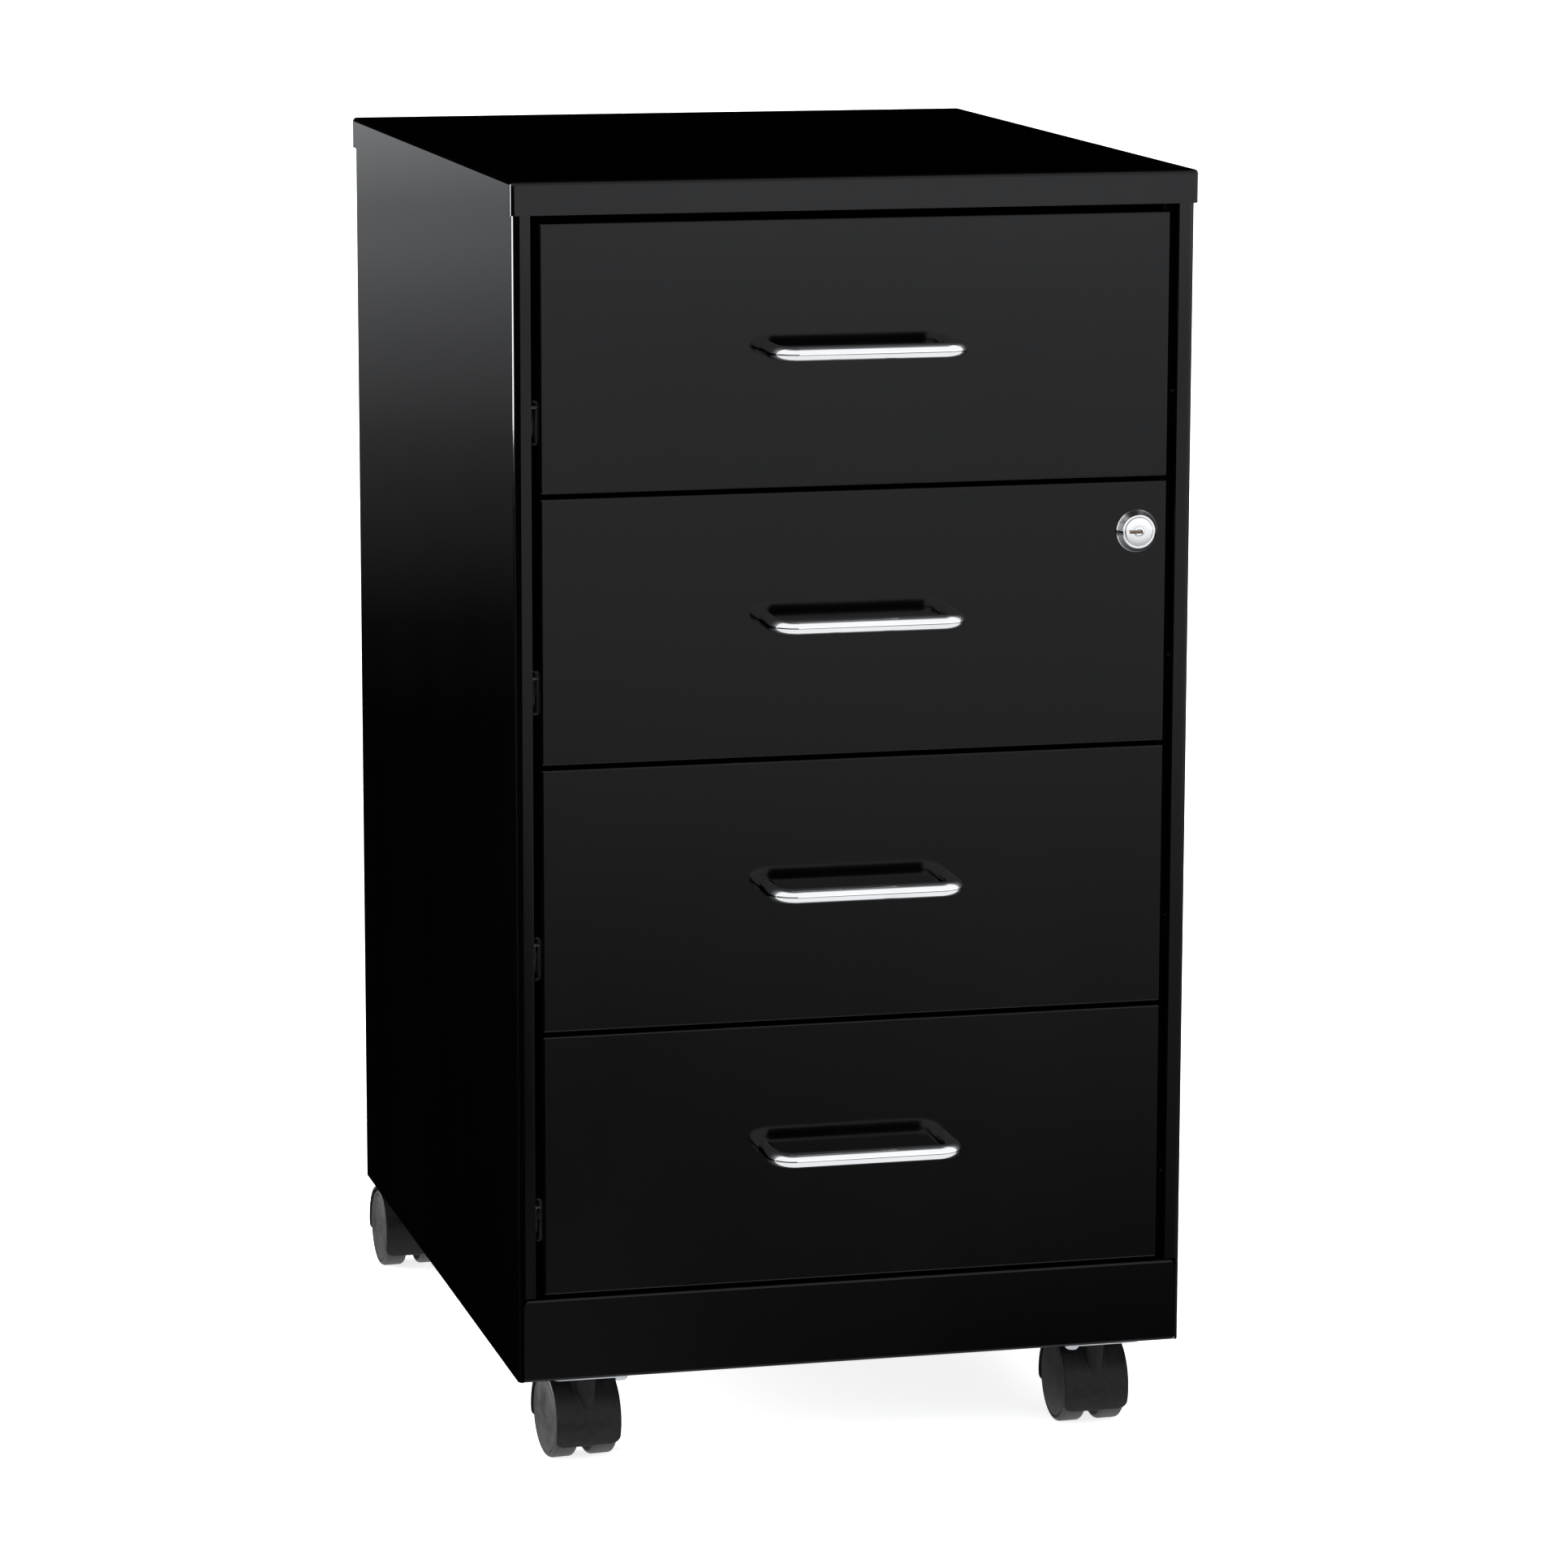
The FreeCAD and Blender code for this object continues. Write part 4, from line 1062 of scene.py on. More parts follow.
    def spot_welds(self) -> None:
        """Shallow electrode marks down the rear flanges, where the back panel is welded in."""
        datum = self.datum
        marks = Form()
        span = datum.side_top - datum.bottom_z - 2 * self.weld_margin
        count = int(span // self.weld_pitch)
        lowest = datum.bottom_z + self.weld_margin + (span - count * self.weld_pitch) / 2
        depth = 0.10 * MM
        radius = self.weld_radius
        profile = [
            (0.0, depth * 0.35),
            (radius * 0.55, depth * 0.4),
            (radius * 0.85, depth),
            (radius, depth * 0.7),
            (radius * 1.15, -0.02 * MM),
            (0.0, -0.02 * MM),
        ]
        for side in Side:
            x = side.value * (datum.half_width - self.rear_flange / 2)
            for number in range(count + 1):
                place = Matrix.Translation((x, datum.rear_y, lowest + number * self.weld_pitch))
                marks.add(lathed(profile, place @ Matrix.Rotation(-math.pi / 2, 4, "X"), 28))
        self.bench.piece("spot_welds", marks.mesh("welds"), self.bench.finishes.enamel, CABINET, Slot.ENAMEL)


# ------------------------------------------------------------------------------------------------ drawers
@dataclass
class Drawer:
    """One drawer: folded front, bent-rod pull, tray, runners and rollers."""

    bench: Bench
    number: int
    front_sheet: float = 0.9 * MM
    edge_radius: float = 1.0 * MM
    taller: float = 0.4 * MM
    rod_radius: float = 4.0 * MM
    rod_bend: float = 10.0 * MM
    tube_steps: int = 48
    bend_steps: int = 20
    lock_hole: float = 9.6 * MM
    roller_width: float = 7.0 * MM
    roller_bore: float = 2.56 * MM
    roller_rim: float = 0.7 * MM
    roller_dish: float = 0.5 * MM

    @property
    def body(self) -> str:
        """The body this drawer's pieces move with."""
        return f"drawer_{self.number}"

    def build(self) -> None:
        """Build and dress every piece of the drawer."""
        self.front()
        self.pull()
        self.rollers("front")
        self.rollers("rear")
        finishes = self.bench.finishes
        self.bench.dress([f"{self.body}_tray"], finishes.inner)
        self.bench.dress([f"{self.body}_runners"], finishes.zinc)
        self.bench.dress([f"{self.body}_handle_screws"], finishes.screw)

    def front(self) -> None:
        """Folded pan with rounded edges, pierced for the lock on the drawer that has one."""
        low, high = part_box(f"{self.body}_front")
        extra = Vector((0.0, 0.0, self.taller))
        shell = pressed_shell(low - extra, high + extra, Opening.BACK, self.front_sheet, self.edge_radius, 6)
        cutters = []
        if self.number == LOCKED_DRAWER:
            centre = lock_centre()
            hole = arc((centre.x, centre.z), self.lock_hole, 0.0, 354.0, 59)
            cutters.append(drawn_out(hole, ALONG_Y, low.y - 1 * MM, low.y + 3 * MM))
            cam_low, cam_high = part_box("lock_cam")
            cutters.append(
                block(
                    Vector((high.x - 2 * MM, cam_low.y - 1 * MM, centre.z - 26 * MM)),
                    Vector((high.x + 1 * MM, cam_high.y + 1 * MM, centre.z + 8 * MM)),
                )
            )
        mesh = carved(shell, cutters)
        self.bench.piece(
            f"{self.body}_face",
            mesh,
            self.bench.finishes.front,
            self.body,
            Slot.FRONT,
            [f"{self.body}_front"],
            weighted=True,
        )

    def pull(self) -> None:
        """Chrome pull: one round rod bent twice, with a fine chamfer at each foot."""
        low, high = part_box(f"{self.body}_handle")
        radius = self.rod_radius
        half = (high.x - low.x) / 2 - radius
        centre_x = (high.x + low.x) / 2
        z = (high.z + low.z) / 2
        foot_y = high.y
        bar_y = low.y + radius
        bend = self.rod_bend
        run = [(-half, foot_y, 0.0, 0.93), (-half, foot_y - 0.35 * MM, 0.0, 1.0)]
        run += self.bend_run(Vector((-half + bend, bar_y + bend)), bend, 0.0, 90.0, Vector((-1.0, 0.0)))
        run += self.bend_run(Vector((half - bend, bar_y + bend)), bend, 90.0, 180.0, Vector((-1.0, 0.0)))
        run += [(half, foot_y - 0.35 * MM, 180.0, 1.0), (half, foot_y, 180.0, 0.93)]
        angles = [TAU * step / self.tube_steps for step in range(self.tube_steps)]
        section = [(radius * math.cos(angle), radius * math.sin(angle)) for angle in angles]
        stations = []
        for x, y, heading, scale in run:
            # heading 0 runs towards -Y, 90 towards +X, 180 back towards +Y
            turn = Matrix.Rotation(math.radians(heading), 4, "Z") @ Matrix.Rotation(math.pi / 2, 4, "X")
            place = Matrix.Translation((centre_x + x, y, z))
            stations.append(place @ turn @ Matrix.Diagonal((scale, scale, 1.0, 1.0)))
        mesh = swept(section, stations).mesh("pull")
        self.bench.piece(
            f"{self.body}_pull",
            mesh,
            self.bench.finishes.chrome,
            self.body,
            Slot.CHROME,
            [f"{self.body}_handle"],
            crease=40.0,
        )

    def bend_run(
        self, centre: Vector, bend: float, start: float, end: float, spoke: Vector
    ) -> list[tuple[float, float, float, float]]:
        """Stations round one bend of the rod.

        Args:
            centre: Centre of the bend in X and Y.
            bend: Radius of the rod's middle line.
            start: Heading in degrees where the bend begins.
            end: Heading where it ends.
            spoke: Direction from the centre to the rod at heading 0.

        Returns:
            (x, y, heading, scale) for each station; the rod narrows a little in the bend.
        """
        stations = []
        for step in range(self.bend_steps + 1):
            share = step / self.bend_steps
            heading = start + (end - start) * share
            out = Matrix.Rotation(math.radians(heading), 2) @ spoke
            squeeze = 1.0 - 0.018 * math.sin(math.pi * share)
            stations.append((centre.x + out.x * bend, centre.y + out.y * bend, heading, squeeze))
        return stations

    def rollers(self, end: str) -> None:
        """A pair of moulded rollers with a recessed face and softened rims.

        Args:
            end: "front" for the pair on the cabinet, "rear" for the pair on the drawer.
        """
        node = f"{self.body}_{end}_rollers"
        low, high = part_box(node)
        radius = (high.z - low.z) / 2
        centre = (low + high) / 2
        rim = self.roller_rim
        dish = self.roller_dish
        profile = [(self.roller_bore, 0.0), (radius * 0.42, 0.0), (radius * 0.47, dish)]
        profile += [(radius * 0.80, dish), (radius * 0.86, 0.0)]
        profile += [(radius - rim, 0.0), (radius - rim * 0.3, rim * 0.3), (radius, rim)]
        profile += [(across, self.roller_width - along) for across, along in reversed(profile)]
        pair = Form()
        for side in Side:
            outer_x = high.x if side is Side.RIGHT else low.x
            across = Matrix.Rotation(-side.value * math.pi / 2, 4, "Y")
            pair.add(lathed(profile, Matrix.Translation((outer_x, centre.y, centre.z)) @ across, 64))
        self.bench.piece(
            f"{self.body}_{end}_roller_wheels",
            pair.mesh("rollers"),
            self.bench.finishes.nylon,
            f"{node[:-1]}_pair",
            Slot.NYLON,
            [node],
        )


# ------------------------------------------------------------------------------------------------ lock
def lock_centre() -> Vector:
    """Centre of the lock on the face of its drawer."""
    low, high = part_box("lock_housing")
    face_low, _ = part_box(f"drawer_{LOCKED_DRAWER}_front")
    return Vector(((low.x + high.x) / 2, face_low.y, (low.z + high.z) / 2))


@dataclass
class Lock:
    """Cam lock: tapered bezel and barrel, turning plug with its key slot, nut and cam."""

    bench: Bench
    bezel_base: float = 11.15 * MM
    bezel_face: float = 8.9 * MM
    barrel: float = 9.5 * MM
    plug: float = 7.4 * MM
    boss: float = 2.7 * MM
    boss_height: float = 0.4 * MM
    slot_left: float = 5.2 * MM
    slot_right: float = 1.9 * MM
    slot_half: float = 0.9 * MM
    slot_depth: float = 6.0 * MM
    ward_start: float = 1.6 * MM
    ward_end: float = 2.6 * MM
    ward_height: float = 0.55 * MM
    thread_pitch: float = 0.8 * MM
    tail: float = 2.9 * MM
    tail_radius: float = 4.0 * MM
    steps: int = 128

    def build(self) -> None:
        """Build and dress the lock."""
        self.housing()
        self.plug_and_keyway()
        self.bench.dress(["lock_nut", "lock_cam"], self.bench.finishes.zinc)

    def axis(self) -> Matrix:
        """Matrix whose Z axis comes straight out of the drawer's face at the lock's centre."""
        return Matrix.Translation(lock_centre()) @ Matrix.Rotation(math.pi / 2, 4, "X")

    def housing(self) -> None:
        """Bezel with a crisp face, a rounded shoulder and a seating lip, and the barrel behind it."""
        low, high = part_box("lock_housing")
        reach = lock_centre().y - low.y
        behind = high.y - lock_centre().y
        bore = self.plug + 0.12 * MM
        shoulder = 0.5 * MM
        profile = [(bore, -behind), (bore, reach - 0.25 * MM), (bore + 0.2 * MM, reach - 0.05 * MM)]
        profile.append((self.bezel_face - shoulder, reach - 0.02 * MM))
        profile += [
            (self.bezel_face - shoulder + across, reach - shoulder + up)
            for across, up in arc((0.0, 0.0), shoulder - 0.02 * MM, 90.0, 25.0, 6)
        ]
        profile += [
            (self.bezel_base - 0.5 * MM, 1.25 * MM),
            (self.bezel_base - 0.1 * MM, 0.85 * MM),
            (self.bezel_base - 0.02 * MM, 0.45 * MM),
            (self.bezel_base - 0.02 * MM, 0.0),
            (self.barrel, 0.0),
        ]
        pitch = self.thread_pitch
        turns = int((behind - 1.5 * MM) // pitch)
        for turn in range(turns):
            depth = 1.2 * MM + turn * pitch
            profile += [(self.barrel, -depth), (self.barrel - 0.28 * MM, -depth - pitch / 2)]
        profile.append((self.barrel - 0.3 * MM, -behind))
        mesh = lathed(profile, self.axis(), self.steps).mesh("housing")
        self.bench.piece(
            "lock_bezel",
            mesh,
            self.bench.finishes.bezel,
            f"drawer_{LOCKED_DRAWER}",
            Slot.CHROME,
            ["lock_housing"],
            crease=28.0,
            weighted=True,
        )

    def plug_and_keyway(self) -> None:
        """Plug with a raised boss, cut for the key, and the dark keyway inside the cut."""
        low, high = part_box("lock_plug")
        centre = lock_centre()
        face = centre.y - low.y - self.boss_height
        behind = high.y - centre.y
        shoulder = behind - self.tail
        boss_face = face + self.boss_height - 0.02 * MM
        profile = [(0.0, boss_face), (self.boss * 0.72, boss_face)]
        profile += [(self.boss * 0.92, face + self.boss_height - 0.12 * MM), (self.boss, face - 0.2 * MM)]
        profile += [(self.boss + 0.28 * MM, face - 0.2 * MM), (self.boss + 0.34 * MM, face)]
        profile += [(self.plug - 0.4 * MM, face), (self.plug - 0.1 * MM, face - 0.12 * MM)]
        profile += [(self.plug, face - 0.4 * MM), (self.plug, -shoulder)]
        profile += [(self.tail_radius, -shoulder), (self.tail_radius, -behind), (0.0, -behind)]
        mesh = lathed(profile, self.axis(), self.steps).mesh("plug")
        slot_x = centre.x - self.slot_left
        slot_z = centre.z - self.slot_half
        far_x = centre.x + self.slot_right
        far_y = low.y + self.slot_depth
        far_z = centre.z + self.slot_half
        keyway = block(Vector((slot_x, low.y - 1 * MM, slot_z)), Vector((far_x, far_y, far_z)))
        warding = block(
            Vector((slot_x + self.ward_start, low.y - 1 * MM, slot_z - 0.01 * MM)),
            Vector((slot_x + self.ward_end, far_y, slot_z + self.ward_height)),
        )
        mesh = softened(carved(mesh, [keyway]), 0.07 * MM, 2, 60.0)
        self.bench.piece(
            "lock_cylinder_face",
            mesh,
            self.bench.finishes.bezel,
            "lock_cylinder",
            Slot.CHROME,
            ["lock_plug"],
            crease=28.0,
            weighted=True,
        )
        wall = 0.06 * MM
        liner = block(
            Vector((slot_x + wall, low.y + 0.7 * MM, slot_z + wall)),
            Vector((far_x - wall, far_y - wall, far_z - wall)),
        )
        liner_mesh = softened(carved(liner.mesh("liner"), [warding]), 0.12 * MM, 2)
        brass = self.bench.finishes.keyhole
        self.bench.piece("lock_keyway", liner_mesh, brass, "lock_cylinder", Slot.CHROME)


# ------------------------------------------------------------------------------------------------ casters
@dataclass(frozen=True)
class CasterPlace:
    """Where one caster stands and how it is turned."""

    name: str
    axis: Vector
    turn: Matrix

    @staticmethod
    def read(name: str, base_z: float) -> "CasterPlace":
        """Read a caster's place from the frame's joints.

        Args:
            name: The caster's body, such as caster_front_left.
            base_z: Height of the carcass's lower edge.

        Returns:
            The caster's place; its turn is taken from the axis of its wheels.
        """
        joints = {joint["name"]: joint for joint in frame["joints"]}
        swivel = Vector(joints[f"{name}_swivel"]["pos_m"])
        spin = Vector(joints[f"{name}_wheel_right_spin"]["axis"])
        angle = math.atan2(spin.y, spin.x)
        return CasterPlace(name, Vector((swivel.x, swivel.y, base_z)), Matrix.Rotation(angle, 4, "Z"))

    def matrix(self) -> Matrix:
        """From the caster's own coordinates, swivel axis at zero, to the frame's."""
        return Matrix.Translation(self.axis) @ self.turn


@dataclass
class Casters:
    """Four twin-wheel casters on screwed zinc plates."""

    bench: Bench
    datum: Datum
    wheel_radius: float = 22.5 * MM
    wheel_inner: float = 4.25 * MM
    wheel_outer: float = 17.25 * MM
    dome: float = 18.9 * MM
    round_off: float = 2.3 * MM
    groove: float = 19.4 * MM
    groove_depth: float = 0.55 * MM
    axle_bore: float = 2.6 * MM
    trail: float = 14.5 * MM
    hood_radius: float = 24.5 * MM
    hood_inner: float = 23.2 * MM
    hood_half: float = 17.8 * MM
    web_half: float = 3.85 * MM
    front_angle: float = 211.5
    rear_angle: float = -19.0
    hood_corner: float = 5.0 * MM
    boss_forward: float = 4.0 * MM
    boss_top: float = -5.6 * MM
    boss_foot: float = 4.6 * MM
    boss_head: float = 5.6 * MM
    boss_turn: float = 1.7
    sleeve_radius: float = 6.5 * MM
    plate: float = 42.0 * MM
    plate_sheet: float = 2.0 * MM
    plate_corner: float = 5.0 * MM
    hole_spacing: float = 32.0 * MM
    hole_radius: float = 2.45 * MM
    grain: float = 0.36 * MM
    relaxing: int = 5
    screw_head: float = 4.0 * MM
    screw_shank: float = 2.3 * MM
    names: tuple[str, ...] = ("front_left", "front_right", "rear_left", "rear_right")

    @property
    def axle_z(self) -> float:
        """Height of the axle below the carcass's lower edge."""
        return self.wheel_radius - self.datum.bottom_z

    def build(self) -> None:
        """Build and dress the four casters, their plates and their screws."""
        places = [CasterPlace.read(f"caster_{name}", self.datum.bottom_z) for name in self.names]
        hood = form_of(self.hood())
        wheel = self.wheel()
        flip = Matrix.Scale(-1, 4, Vector((1, 0, 0)))
        for place in places:
            matrix = place.matrix()
            self.bench.piece(
                f"{place.name}_shroud",
                hood.moved(matrix).mesh("hood"),
                self.bench.finishes.hood,
                place.name,
                Slot.HOOD,
                [f"{place.name}_hood"],
                crease=60.0,
            )
            for side in Side:
                own = wheel if side is Side.RIGHT else wheel.moved(flip)
                label = side.name.lower()
                self.bench.piece(
                    f"{place.name}_tyre_{label}",
                    own.moved(matrix).mesh("wheel"),
                    self.bench.finishes.wheel,
                    f"{place.name}_wheel_{label}_body",
                    Slot.WHEEL,
                    [f"{place.name}_wheel_{label}"],
                )
            self.bench.dress([f"{place.name}_axle"], self.bench.finishes.screw)
        self.plates(places)
        self.screws(places)

    def wheel(self) -> Form:
        """Right-hand wheel: softened tread, mould line, fine rim groove and domed face."""
        radius = self.wheel_radius
        round_off = self.round_off
        groove = self.groove
        groove_depth = self.groove_depth
        bore = self.axle_bore
        middle = (self.wheel_inner + self.wheel_outer) / 2
        inner = self.wheel_inner
        outer = self.wheel_outer
        rise = self.dome - outer
        sphere = (groove**2 + rise**2) / (2 * rise)
        profile = [(bore, inner + 8 * MM), (bore, inner + 1.2 * MM), (6.0 * MM, inner + 1.2 * MM)]
        profile += [(7.0 * MM, inner + 0.1 * MM), (radius - 3.6 * MM, inner + 0.1 * MM)]
        profile += [
            (radius - round_off + up, inner + round_off - across)
            for across, up in arc((0.0, 0.0), round_off, 5.0, 85.0, 6)
        ]
        profile += [(radius, middle - 0.25 * MM), (radius, middle + 0.25 * MM)]
        profile += [
            (radius - round_off + up, outer - round_off + across)
            for across, up in arc((0.0, 0.0), round_off, 85.0, 5.0, 6)
        ]
        profile += [(groove + 0.75 * MM, outer), (groove + 0.55 * MM, outer - 0.1 * MM)]
        profile += [(groove + 0.45 * MM, outer - groove_depth), (groove + 0.1 * MM, outer - groove_depth)]
        for step in range(13):
            across = groove * (1.0 - step / 12)
            drop = sphere - math.sqrt(sphere**2 - across**2)
            profile.append((across, self.dome - drop - (0.12 * MM if step == 0 else 0.0)))
        profile = [(0.0, inner + 8 * MM)] + profile
        axle = Matrix.Translation((0.0, self.trail, self.axle_z)) @ Matrix.Rotation(math.pi / 2, 4, "Y")
        return lathed(profile, axle, 112)

    def hood(self) -> bpy.types.Mesh:
        """Moulded hood: fender, web and swivel boss melted into one soft-edged body."""
        solid = self.fender().mesh("fender")
        joined = worked(solid, [self.web(), self.boss(), self.sleeve()], Joining.JOIN)
        carving = [self.cup_room(), *self.wheel_rooms(), self.axle_room(), self.kingpin_room()]
        joined = carved(joined, carving)

        def remesh(carrier: bpy.types.Object) -> None:
            """Melt the joined parts into one skin."""
            modifier = carrier.modifiers.new("melt", "REMESH")
            modifier.mode = "VOXEL"
            modifier.voxel_size = self.grain
            modifier.adaptivity = 0.0

        def relax(carrier: bpy.types.Object) -> None:
            """Smooth the skin, which softens every edge."""
            modifier = carrier.modifiers.new("relax", "SMOOTH")
            modifier.factor = 0.5
            modifier.iterations = self.relaxing

        return shaped(joined, [remesh, relax])

    def fender(self) -> Form:
        """The curved cover over both treads, with rounded lower corners."""
        steps = 84
        stations = []
        span = self.front_angle - self.rear_angle
        thickness = self.hood_radius - self.hood_inner
        for step in range(steps + 1):
            angle = math.radians(self.rear_angle + span * step / steps)
            from_end = min(step, steps - step) / steps * math.radians(span) * self.hood_radius
            short = max(0.0, self.hood_corner - from_end)
            pull_in = self.hood_corner - math.sqrt(max(0.0, self.hood_corner**2 - short**2))
            width = (self.hood_half - pull_in) / self.hood_half
            outward = Vector((0.0, math.cos(angle), math.sin(angle)))
            along = Vector((0.0, -math.sin(angle), math.cos(angle)))
            centre = Vector((0.0, self.trail, self.axle_z)) + outward * self.hood_inner
            columns = (Vector((1, 0, 0)) * width, outward, along, centre)
            station = Matrix.Identity(4)
            for index, column in enumerate(columns):
                for row in range(3):
                    station[row][index] = column[row]
            stations.append(station)
        half = self.hood_half
        section = [(-half, 0.0), (half, 0.0), (half, thickness), (-half, thickness)]
        return swept(section, stations)

    def web(self) -> Form:
        """The plate between the wheels that carries the axle."""
        radius = self.hood_radius - 0.1 * MM
        ring = arc((self.trail, self.axle_z), radius, self.rear_angle, self.front_angle, 60)
        ring.append((self.trail - 10 * MM, self.axle_z - 13.5 * MM))
        ring.append((self.trail + 9 * MM, self.axle_z - 12.5 * MM))
        return drawn_out(ring, ALONG_X, -self.web_half, self.web_half)

    def boss(self) -> Form:
        """Tapered boss in front of the swivel axis."""
        low_z = self.axle_z - 4.3 * MM
        top = self.boss_top
        profile = [(0.0, low_z), (self.boss_foot, low_z), (self.boss_head, top), (0.0, top)]
        turn = Matrix.Rotation(math.radians(self.boss_turn), 4, "Z")
        place = Matrix.Translation((0.0, -self.boss_forward, 0.0)) @ turn
        return lathed(profile, place, 64)

    def sleeve(self) -> Form:
        """Sleeve round the kingpin, inside the hood."""
        low_z = self.axle_z - 3.1 * MM
        high_z = self.boss_top - 0.7 * MM
        radius = self.sleeve_radius
        profile = [(0.0, low_z), (radius, low_z), (radius, high_z), (0.0, high_z)]
        return lathed(profile, Matrix.Identity(4), 61)

    def cup_room(self) -> Form:
        """Room for the bearing cup above the hood."""
        profile = [(0.0, -6.2 * MM), (3.8 * MM, -5.8 * MM), (6.2 * MM, -4.8 * MM), (9.0 * MM, -2.8 * MM)]
        profile += [(9.0 * MM, 1.0 * MM), (0.0, 1.0 * MM)]
        return lathed(profile, Matrix.Identity(4), 64)

    def wheel_rooms(self) -> list[Form]:
        """Room for the two wheels."""
        rooms = []
        for side in Side:
            ring = arc((self.trail, self.axle_z), self.hood_inner, 0.0, 355.0, 71)
            x0, x1 = sorted((side.value * self.web_half, side.value * (self.hood_half + 4 * MM)))
            rooms.append(drawn_out(ring, ALONG_X, x0, x1))
        return rooms

    def axle_room(self) -> Form:
        """Bore for the axle."""
        ring = arc((self.trail, self.axle_z), 2.55 * MM, 0.0, 350.0, 35)
        return drawn_out(ring, ALONG_X, -self.hood_half, self.hood_half)

    def kingpin_room(self) -> Form:
        """Bore for the kingpin."""
        ring = arc((0.0, 0.0), 3.1 * MM, 0.0, 350.0, 35)
        return drawn_out(ring, ALONG_Z, -26 * MM, 1 * MM)

    def plates(self, places: Sequence[CasterPlace]) -> None:
        """Zinc plates with rounded corners, a rolled edge, a pressed bearing cup and a kingpin.

        Args:
            places: Where the casters stand.
        """
        half = self.plate / 2
        corner = self.plate_corner
        ring: list[tuple[float, float]] = []
        for turn, (sx, sy) in enumerate(((1, 1), (-1, 1), (-1, -1), (1, -1))):
            centre = (sx * (half - corner), sy * (half - corner))
            ring += arc(centre, corner, 90.0 * turn, 90.0 * turn + 90.0, 8)
        blank = drawn_out(ring, ALONG_Z, -self.plate_sheet, -0.02 * MM).mesh("plate")
        plate = softened(carved(blank, self.screw_rooms()), 0.3 * MM, 3, 60.0)
        cup = [
            (0.0, -self.plate_sheet + 0.2 * MM),
            (8.6 * MM, -self.plate_sheet + 0.2 * MM),
            (8.2 * MM, -self.plate_sheet - 0.2 * MM),
            (7.4 * MM, -3.0 * MM),
            (6.2 * MM, -3.9 * MM),
            (4.8 * MM, -4.7 * MM),
            (3.4 * MM, -5.2 * MM),
            (3.0 * MM, -5.3 * MM),
            (3.0 * MM, -23.6 * MM),
            (2.6 * MM, -24.0 * MM),
            (0.0, -24.0 * MM),
        ]
        one = form_of(plate).add(lathed(cup, Matrix.Identity(4), 72))
        whole = Form()
        for place in places:
            whole.add(one.moved(Matrix.Translation(place.axis)))
        self.bench.piece(
            "caster_mounting_plates",
            whole.mesh("plates"),
            self.bench.finishes.zinc,
            CABINET,
            Slot.ZINC,
            ["caster_plates"],
            crease=30.0,
        )

    def screw_rooms(self) -> list[Form]:
        """The four screw holes of a plate."""
        offset = self.hole_spacing / 2
        rooms = []
        for sx, sy in ((-1, -1), (1, -1), (1, 1), (-1, 1)):
            ring = arc((sx * offset, sy * offset), self.hole_radius, 0.0, 345.0, 23)
            rooms.append(drawn_out(ring, ALONG_Z, -self.plate_sheet - 1 * MM, 1 * MM))
        return rooms

    def screws(self, places: Sequence[CasterPlace]) -> None:
        """Pan-head screws with a cross recess, three to a plate, each turned to its own angle.

        Args:
            places: Where the casters stand.
        """
        radius = self.screw_head
        shank = self.screw_shank
        height = 2.55 * MM
        profile = [(0.0, -height), (radius * 0.45, -height), (radius * 0.78, -height * 0.86)]
        profile += [(radius * 0.94, -height * 0.55), (radius, -height * 0.2), (radius, 0.0), (shank, 0.0)]
        profile += [(shank, 7.5 * MM), (1.6 * MM, 8.8 * MM), (0.0, 8.8 * MM)]
        head = lathed(profile, Matrix.Identity(4), 40).mesh("screw")
        arm = radius * 0.52
        blade = radius * 0.12
        recess = []
        for across, along in ((arm, blade), (blade, arm)):
            low = Vector((-across, -along, -height - 1 * MM))
            recess.append(block(low, Vector((across, along, -height * 0.45))))
        one = form_of(carved(head, recess))
        whole = Form()
        offset = self.hole_spacing / 2
        for index, place in enumerate(places):
            outward = math.copysign(offset, place.axis.x)
            endward = math.copysign(offset, place.axis.y - (self.datum.front_y + self.datum.rear_y) / 2)
            holes = ((-outward, endward), (-outward, -endward), (outward, -endward))
            for number, (dx, dy) in enumerate(holes):
                turn = Matrix.Rotation(math.radians(37.0 * index + 61.0 * number), 4, "Z")
                spot = place.axis + Vector((dx, dy, -self.plate_sheet))
                whole.add(one.moved(Matrix.Translation(spot) @ turn))
        self.bench.piece(
            "caster_screw_heads",
            whole.mesh("screws"),
            self.bench.finishes.screw,
            CABINET,
            Slot.SCREW,
            ["caster_screws"],
            crease=30.0,
        )


# ------------------------------------------------------------------------------------------------ stage
@dataclass(frozen=True)
class Sector:
    """A span of the surroundings with its own brightness by height.

    Azimuth is in degrees, 0 straight in front of the cabinet and positive to its right.  Stops are pairs of
    elevation in degrees and brightness, lowest first.
    """

    centre: float
    half_width: float
    softness: float
    stops: tuple[tuple[float, float], ...]


